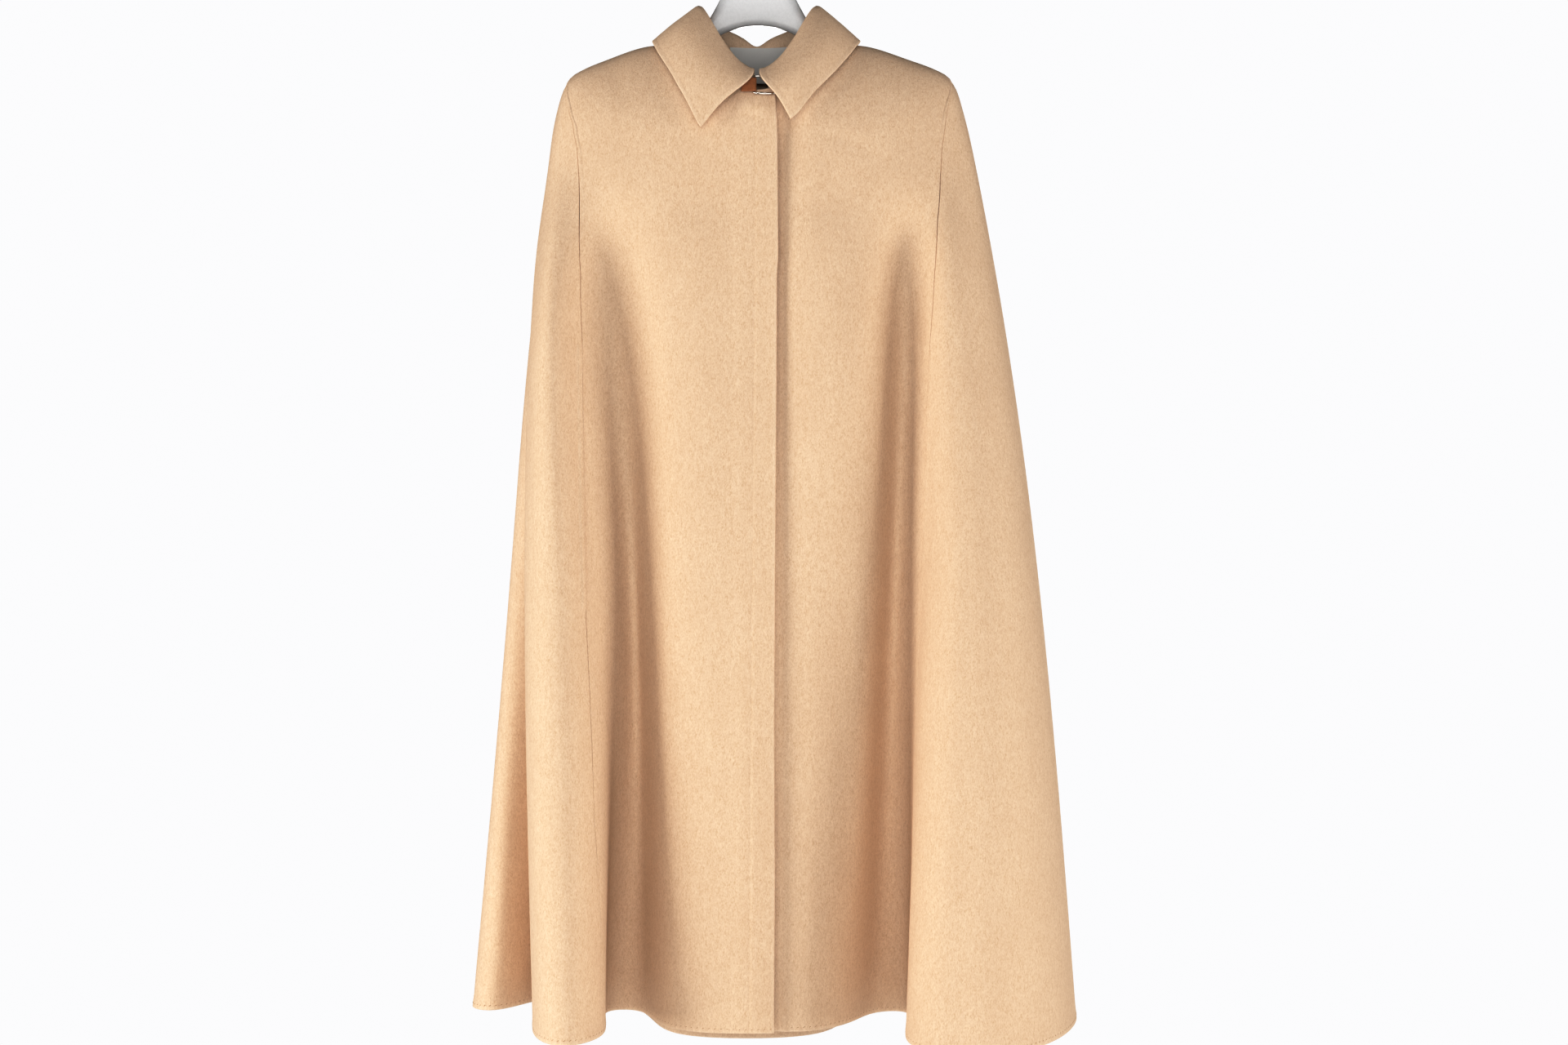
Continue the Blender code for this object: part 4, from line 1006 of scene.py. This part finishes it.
def sum_of(tree, first, second, share):
    """The first value plus a share of the second."""
    values = {0: second, 1: share, 2: first}
    return output_of(tree, "ShaderNodeMath", 0, values, operation="MULTIPLY_ADD")


def product(tree, first, second):
    values = {0: first, 1: second}
    return output_of(tree, "ShaderNodeMath", 0, values, operation="MULTIPLY")


def wool_material():
    """Felted camel wool: mottled fibres, a short nap that lies down the cloth, and a soft sheen."""
    material, tree = new_material("camel wool")
    across_nap = scaled_coordinates(tree, (1.0, 1.0, 0.45))
    fibres = noise(tree, across_nap, 950, 3, 0.65)
    tufts = noise(tree, across_nap, 330, 2, 0.55)
    clouds = noise(tree, scaled_coordinates(tree, (1, 1, 0.6)), 26, 3, 0.5)
    wear = output_of(tree, "ShaderNodeAttribute", "Fac", {}, attribute_name="wear")
    colour = mix_colour(tree, spread(tree, fibres, 0.30, 0.70), (0.545, 0.385, 0.260), (0.735, 0.572, 0.430))
    layers = (
        (spread(tree, tufts, 0.35, 0.68, 0.0, 0.30), (0.790, 0.640, 0.505)),
        (spread(tree, clouds, 0.35, 0.65, 0.0, 0.16), (0.560, 0.405, 0.285)),
        (spread(tree, wear, 0.0, 1.0, 0.0, 0.22), (0.800, 0.670, 0.540)),
    )
    for amount, tint in layers:
        colour = mix_colour(tree, amount, colour, tint)
    values = {
        "Base Color": colour, "Roughness": 0.92, "Specular IOR Level": 0.18,
        "Sheen Weight": 0.06, "Sheen Roughness": 0.55, "Sheen Tint": (0.95, 0.80, 0.62),
    }
    return finish_material(material, values, sum_of(tree, fibres, tufts, 0.8), 0.0007, 0.55)


def thread_material():
    """Wool sewing thread, a shade darker than the cloth."""
    material, tree = new_material("wool thread")
    twist = noise(tree, scaled_coordinates(tree), 1800, 2, 0.5)
    colour = mix_colour(tree, twist, (0.300, 0.180, 0.095), (0.440, 0.285, 0.165))
    return finish_material(material, {"Base Color": colour, "Roughness": 0.85}, twist, 0.0002)


def leather_material():
    """Smooth brown leather with fine grain, darker in the pores and lighter in soft patches."""
    material, tree = new_material("brown leather")
    place = scaled_coordinates(tree)
    pores = output_of(tree, "ShaderNodeTexVoronoi", "Distance", {"Scale": 1500, "Vector": place})
    clouds = noise(tree, place, 190, 3, 0.55)
    grain = mix_colour(tree, spread(tree, pores, 0.1, 0.6), (0.230, 0.085, 0.032), (0.400, 0.170, 0.072))
    colour = mix_colour(tree, spread(tree, clouds, 0.35, 0.65, 0.0, 0.6), grain, (0.460, 0.205, 0.092))
    roughness = spread(tree, clouds, 0.3, 0.7, 0.34, 0.52)
    return finish_material(material, {"Base Color": colour, "Roughness": roughness}, pores, 0.0002)


def metal_material(name, colour, roughness):
    """Polished metal with faint smears and hairlines."""
    material, tree = new_material(name)
    smears = noise(tree, scaled_coordinates(tree), 240, 3, 0.6)
    hairs = noise(tree, scaled_coordinates(tree, (0.2, 1, 3)), 2600, 2, 0.5)
    marks = sum_of(tree, smears, hairs, 0.3)
    values = {
        "Base Color": mix_colour(tree, smears, colour, tuple(0.86 * c for c in colour)),
        "Roughness": spread(tree, marks, 0.4, 0.9, roughness, roughness + 0.12), "Metallic": 1.0,
    }
    return finish_material(material, values, hairs, 0.00004, 0.3)


def plastic_material():
    """Glossy white moulded plastic with a faint ripple and dust."""
    material, tree = new_material("white moulded plastic")
    place = scaled_coordinates(tree)
    dust = noise(tree, place, 420, 4, 0.6)
    ripple = noise(tree, place, 46, 2, 0.4)
    colour = mix_colour(tree, spread(tree, dust, 0.45, 0.75), (0.600, 0.603, 0.612), (0.540, 0.543, 0.552))
    values = {
        "Base Color": colour, "Roughness": spread(tree, dust, 0.35, 0.7, 0.16, 0.30),
        "Coat Weight": 0.3, "Coat Roughness": 0.08,
    }
    return finish_material(material, values, ripple, 0.0010, 0.12)


def tape_material():
    """White woven tape: fine warp and weft ribs."""
    material, tree = new_material("white woven tape")
    place = scaled_coordinates(tree)
    ribs = []
    for direction, scale in (("X", 900), ("Z", 620)):
        values = {"Scale": scale, "Distortion": 0.6, "Vector": place}
        ribs.append(output_of(
            tree, "ShaderNodeTexWave", "Fac", values, wave_type="BANDS", bands_direction=direction))
    weave = sum_of(tree, *ribs, 0.8)
    specks = noise(tree, place, 700, 2, 0.5)
    base = mix_colour(tree, spread(tree, weave, 0.2, 1.6), (0.640, 0.635, 0.615), (0.860, 0.858, 0.845))
    colour = mix_colour(tree, spread(tree, specks, 0.5, 0.8, 0.0, 0.3), base, (0.700, 0.690, 0.660))
    values = {"Base Color": colour, "Roughness": 0.8, "Sheen Weight": 0.1}
    return finish_material(material, values, weave, 0.0002)


def bent_thread(group, length, radius):
    """One short thread, bent so that its ends dip into the cloth."""
    low, high = product(group, radius, THREAD_END_DIP), product(group, radius, THREAD_MIDDLE_RISE)
    corners = {
        "Start": {"X": product(group, length, -0.5), "Z": low},
        "Middle": {"Z": high},
        "End": {"X": product(group, length, 0.5), "Z": low},
    }
    values = {"Resolution": THREAD_SEGMENTS}
    for socket, place in corners.items():
        values[socket] = output_of(group, "ShaderNodeCombineXYZ", 0, place)
    line = output_of(group, "GeometryNodeCurveQuadraticBezier", "Curve", values)
    values = {"Resolution": THREAD_SIDES, "Radius": radius}
    circle = output_of(group, "GeometryNodeCurvePrimitiveCircle", "Curve", values)
    values = {"Fill Caps": True, "Curve": line, "Profile Curve": circle}
    return output_of(group, "GeometryNodeCurveToMesh", "Mesh", values)


def stitch_group(thread):
    """A geometry node group that lays short threads along a line that carries its own directions."""
    group = bpy.data.node_groups.new("threads along a line", "GeometryNodeTree")
    face = group.interface
    face.new_socket("Geometry", in_out="INPUT", socket_type="NodeSocketGeometry")
    for name, value in STITCH.items():
        kind = "NodeSocketInt" if name == "Seed" else "NodeSocketFloat"
        face.new_socket(name, in_out="INPUT", socket_type=kind).default_value = value
    face.new_socket("Geometry", in_out="OUTPUT", socket_type="NodeSocketGeometry")
    given = group.nodes.new("NodeGroupInput").outputs
    curve = output_of(group, "GeometryNodeMeshToCurve", "Curve", {"Mesh": given["Geometry"]})
    values = {"Curve": curve, "Length": given["Spacing"]}
    points = output_of(group, "GeometryNodeCurveToPoints", "Points", values, mode="LENGTH")
    turned = {}
    for axis, pivot, name in (("Z", "AUTO", "outward"), ("X", "Z", "along")):
        turned["Vector"] = output_of(
            group, "GeometryNodeInputNamedAttribute", "Attribute", {"Name": name}, data_type="FLOAT_VECTOR")
        turned = {"Rotation": output_of(
            group, "FunctionNodeAlignRotationToVector", "Rotation", turned, axis=axis, pivot_axis=pivot)}
    values = {2: SLANT_LEAST, 3: SLANT_MOST, "Seed": given["Seed"]}
    tilt = output_of(group, "FunctionNodeRandomValue", 1, values, data_type="FLOAT")
    lean = product(group, tilt, given["Slant"])
    slant = output_of(group, "ShaderNodeCombineXYZ", 0, {"Z": lean})
    turned["Rotate By"] = output_of(group, "FunctionNodeEulerToRotation", 0, {0: slant})
    final = output_of(group, "FunctionNodeRotateRotation", "Rotation", turned, rotation_space="LOCAL")
    values = {
        "Points": points, "Instance": bent_thread(group, given["Thread Length"], given["Thread Radius"]),
        "Rotation": final,
    }
    threads = output_of(group, "GeometryNodeInstanceOnPoints", "Instances", values)
    whole = output_of(group, "GeometryNodeRealizeInstances", "Geometry", {"Geometry": threads})
    values = {"Material": thread, "Geometry": whole}
    coloured = output_of(group, "GeometryNodeSetMaterial", "Geometry", values)
    plug(group, group.nodes.new("NodeGroupOutput"), {"Geometry": coloured})
    return group


def thread_line(name, points, along, outward, group, slot):
    """Threads along one or more lines, made by the group and kept as a plain mesh."""
    mesh = bpy.data.meshes.new(name)
    verts, edges = [], []
    for line in points:
        first = len(verts)
        verts += [tuple(point) for point in line]
        edges += [(first + i, first + i + 1) for i in range(len(line) - 1)]
    mesh.from_pydata(verts, edges, [])
    for attribute, vectors in (("along", along), ("outward", outward)):
        layer = mesh.attributes.new(attribute, "FLOAT_VECTOR", "POINT")
        layer.data.foreach_set("vector", np.concatenate(vectors).ravel())
    obj = add_object(name, mesh)
    obj.modifiers.new("threads", "NODES").node_group = group
    graph = bpy.context.evaluated_depsgraph_get()
    made = bpy.data.meshes.new_from_object(obj.evaluated_get(graph), depsgraph=graph)
    obj.modifiers.clear()
    obj.data = made
    made.name = name
    bpy.data.meshes.remove(mesh)
    made.shade_smooth()
    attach(obj, "root")
    return obj


def hem_line(first, last, lift):
    """A line just above the hem from one turn to another, with its directions."""
    turns = np.linspace(first, last, HEM_LINE_POINTS)
    reaches = np.full_like(turns, HEM_REACH - STITCH_ABOVE_HEM)
    outward = cape_outward(turns, reaches)
    points = cape(turns, reaches)
    raised = HEM_BAND_RISE + lift(points) + crease_lift(turns, reaches)
    return points + outward * raised[:, None], unit(cape_across(turns, reaches)), outward


def build_stitches(thread):
    """Pick stitches that hold the turned hem, all the way round."""
    closing = turn_at_x(CLOSING_LINE[-1][1] - STITCHES_FROM_CLOSING, np.array([HEM_REACH]))[0]
    cuts = {name: seam_turn(name, HEM_REACH) for name in SEAM_COLUMNS[1:]}
    gap = STITCHES_FROM_SEAM
    flat = lambda p: np.zeros(p.shape[:-1])
    runs = (
        (cuts["left_front"] + gap, closing + FOLD_COUNT, closing_lift),
        (closing + STITCHES_UNDER, cuts["right_front"] - gap, lambda p: underlap_sink(p, HEM_REACH)),
        (cuts["right_front"] + gap, cuts["right_back"] - gap, flat),
        (cuts["right_back"] + gap, cuts["left_back"] - gap, flat),
        (cuts["left_back"] + gap, cuts["left_front"] - gap, flat),
    )
    lines = [hem_line(*run) for run in runs]
    thread_line("hem_stitches", *zip(*lines), stitch_group(thread), "wool")


def build_stage():
    """A plain pale floor under the hanging cape."""
    material, tree = new_material("pale floor")
    grain = noise(tree, scaled_coordinates(tree), 3, 2, 0.5)
    colour = mix_colour(tree, grain, (0.84, 0.84, 0.845), (0.80, 0.80, 0.805))
    finish_material(material, {"Base Color": colour, "Roughness": 0.9})
    mesh = bpy.data.meshes.new("studio_floor")
    bm = bmesh.new()
    bmesh.ops.create_circle(bm, cap_ends=True, segments=96, radius=FLOOR_RADIUS)
    bmesh.ops.translate(bm, verts=bm.verts, vec=(0, 0, FLOOR_Z))
    bm.to_mesh(mesh)
    bm.free()
    add_object("studio_floor", mesh, material)


def build_light():
    """Two tall soft boxes to the sides, a broad fill in front and a box behind, on a white background."""
    for row in LIGHTS:
        values = named(LIGHT_COLUMNS, row)
        light = bpy.data.lights.new(values["name"], "AREA")
        light.shape = "RECTANGLE"
        light.size, light.size_y = values["size"]
        light.energy = values["power"]
        light.color = values["colour"]
        obj = add_object(values["name"], light)
        obj.location = values["place"]
        aim = Vector((0.0, 0.0, values["target_z"])) - Vector(values["place"])
        obj.rotation_euler = aim.to_track_quat("-Z", "Y").to_euler()
        obj.visible_camera = False
    world = bpy.data.worlds.new("white studio")
    world.use_nodes = True
    tree = world.node_tree
    seen = tree.nodes.new("ShaderNodeLightPath").outputs["Is Camera Ray"]
    strength = spread(tree, seen, 0.0, 1.0, WHITE_AS_LIGHT, WHITE_AS_SEEN)
    plug(tree, tree.nodes["Background"], {"Color": WHITE, "Strength": strength})
    scene = bpy.context.scene
    scene.world = world
    scene.view_settings.view_transform = "Standard"
    scene.view_settings.look = "None"
    scene.view_settings.use_curve_mapping = True
    grading = scene.view_settings.curve_mapping
    for low, high in CONTRAST_CURVE:
        grading.curves[ALL_CHANNELS].points.new(low, high)
    grading.update()


def build_camera():
    """The photograph's view: level, square on, a little right of the middle."""
    camera = bpy.data.cameras.new("camera")
    camera.lens, camera.sensor_width = 50, 36
    camera.clip_start, camera.clip_end = 0.05, 50
    obj = add_object("camera", camera)
    obj.location = CAMERA_PLACE
    obj.rotation_euler = (math.radians(90), 0, 0)
    bpy.context.scene.camera = obj


build_camera()
wool = wool_material()
thread = thread_material()
leather = leather_material()
panels = build_panels(wool)
collar = build_collar(wool)
build_ring(metal_material("polished ring metal", (0.76, 0.72, 0.67), 0.12))
build_tab("leather_tab_right", "strap_right", RING_LEFT, -1, leather)
build_tab("leather_tab_left", "strap_left", RING_RIGHT, 1, leather)
label = build_label(tape_material())
build_hanger(plastic_material())
build_hook(metal_material("polished hook wire", (0.72, 0.72, 0.72), 0.18))
build_stitches(thread)
build_stage()
build_light()
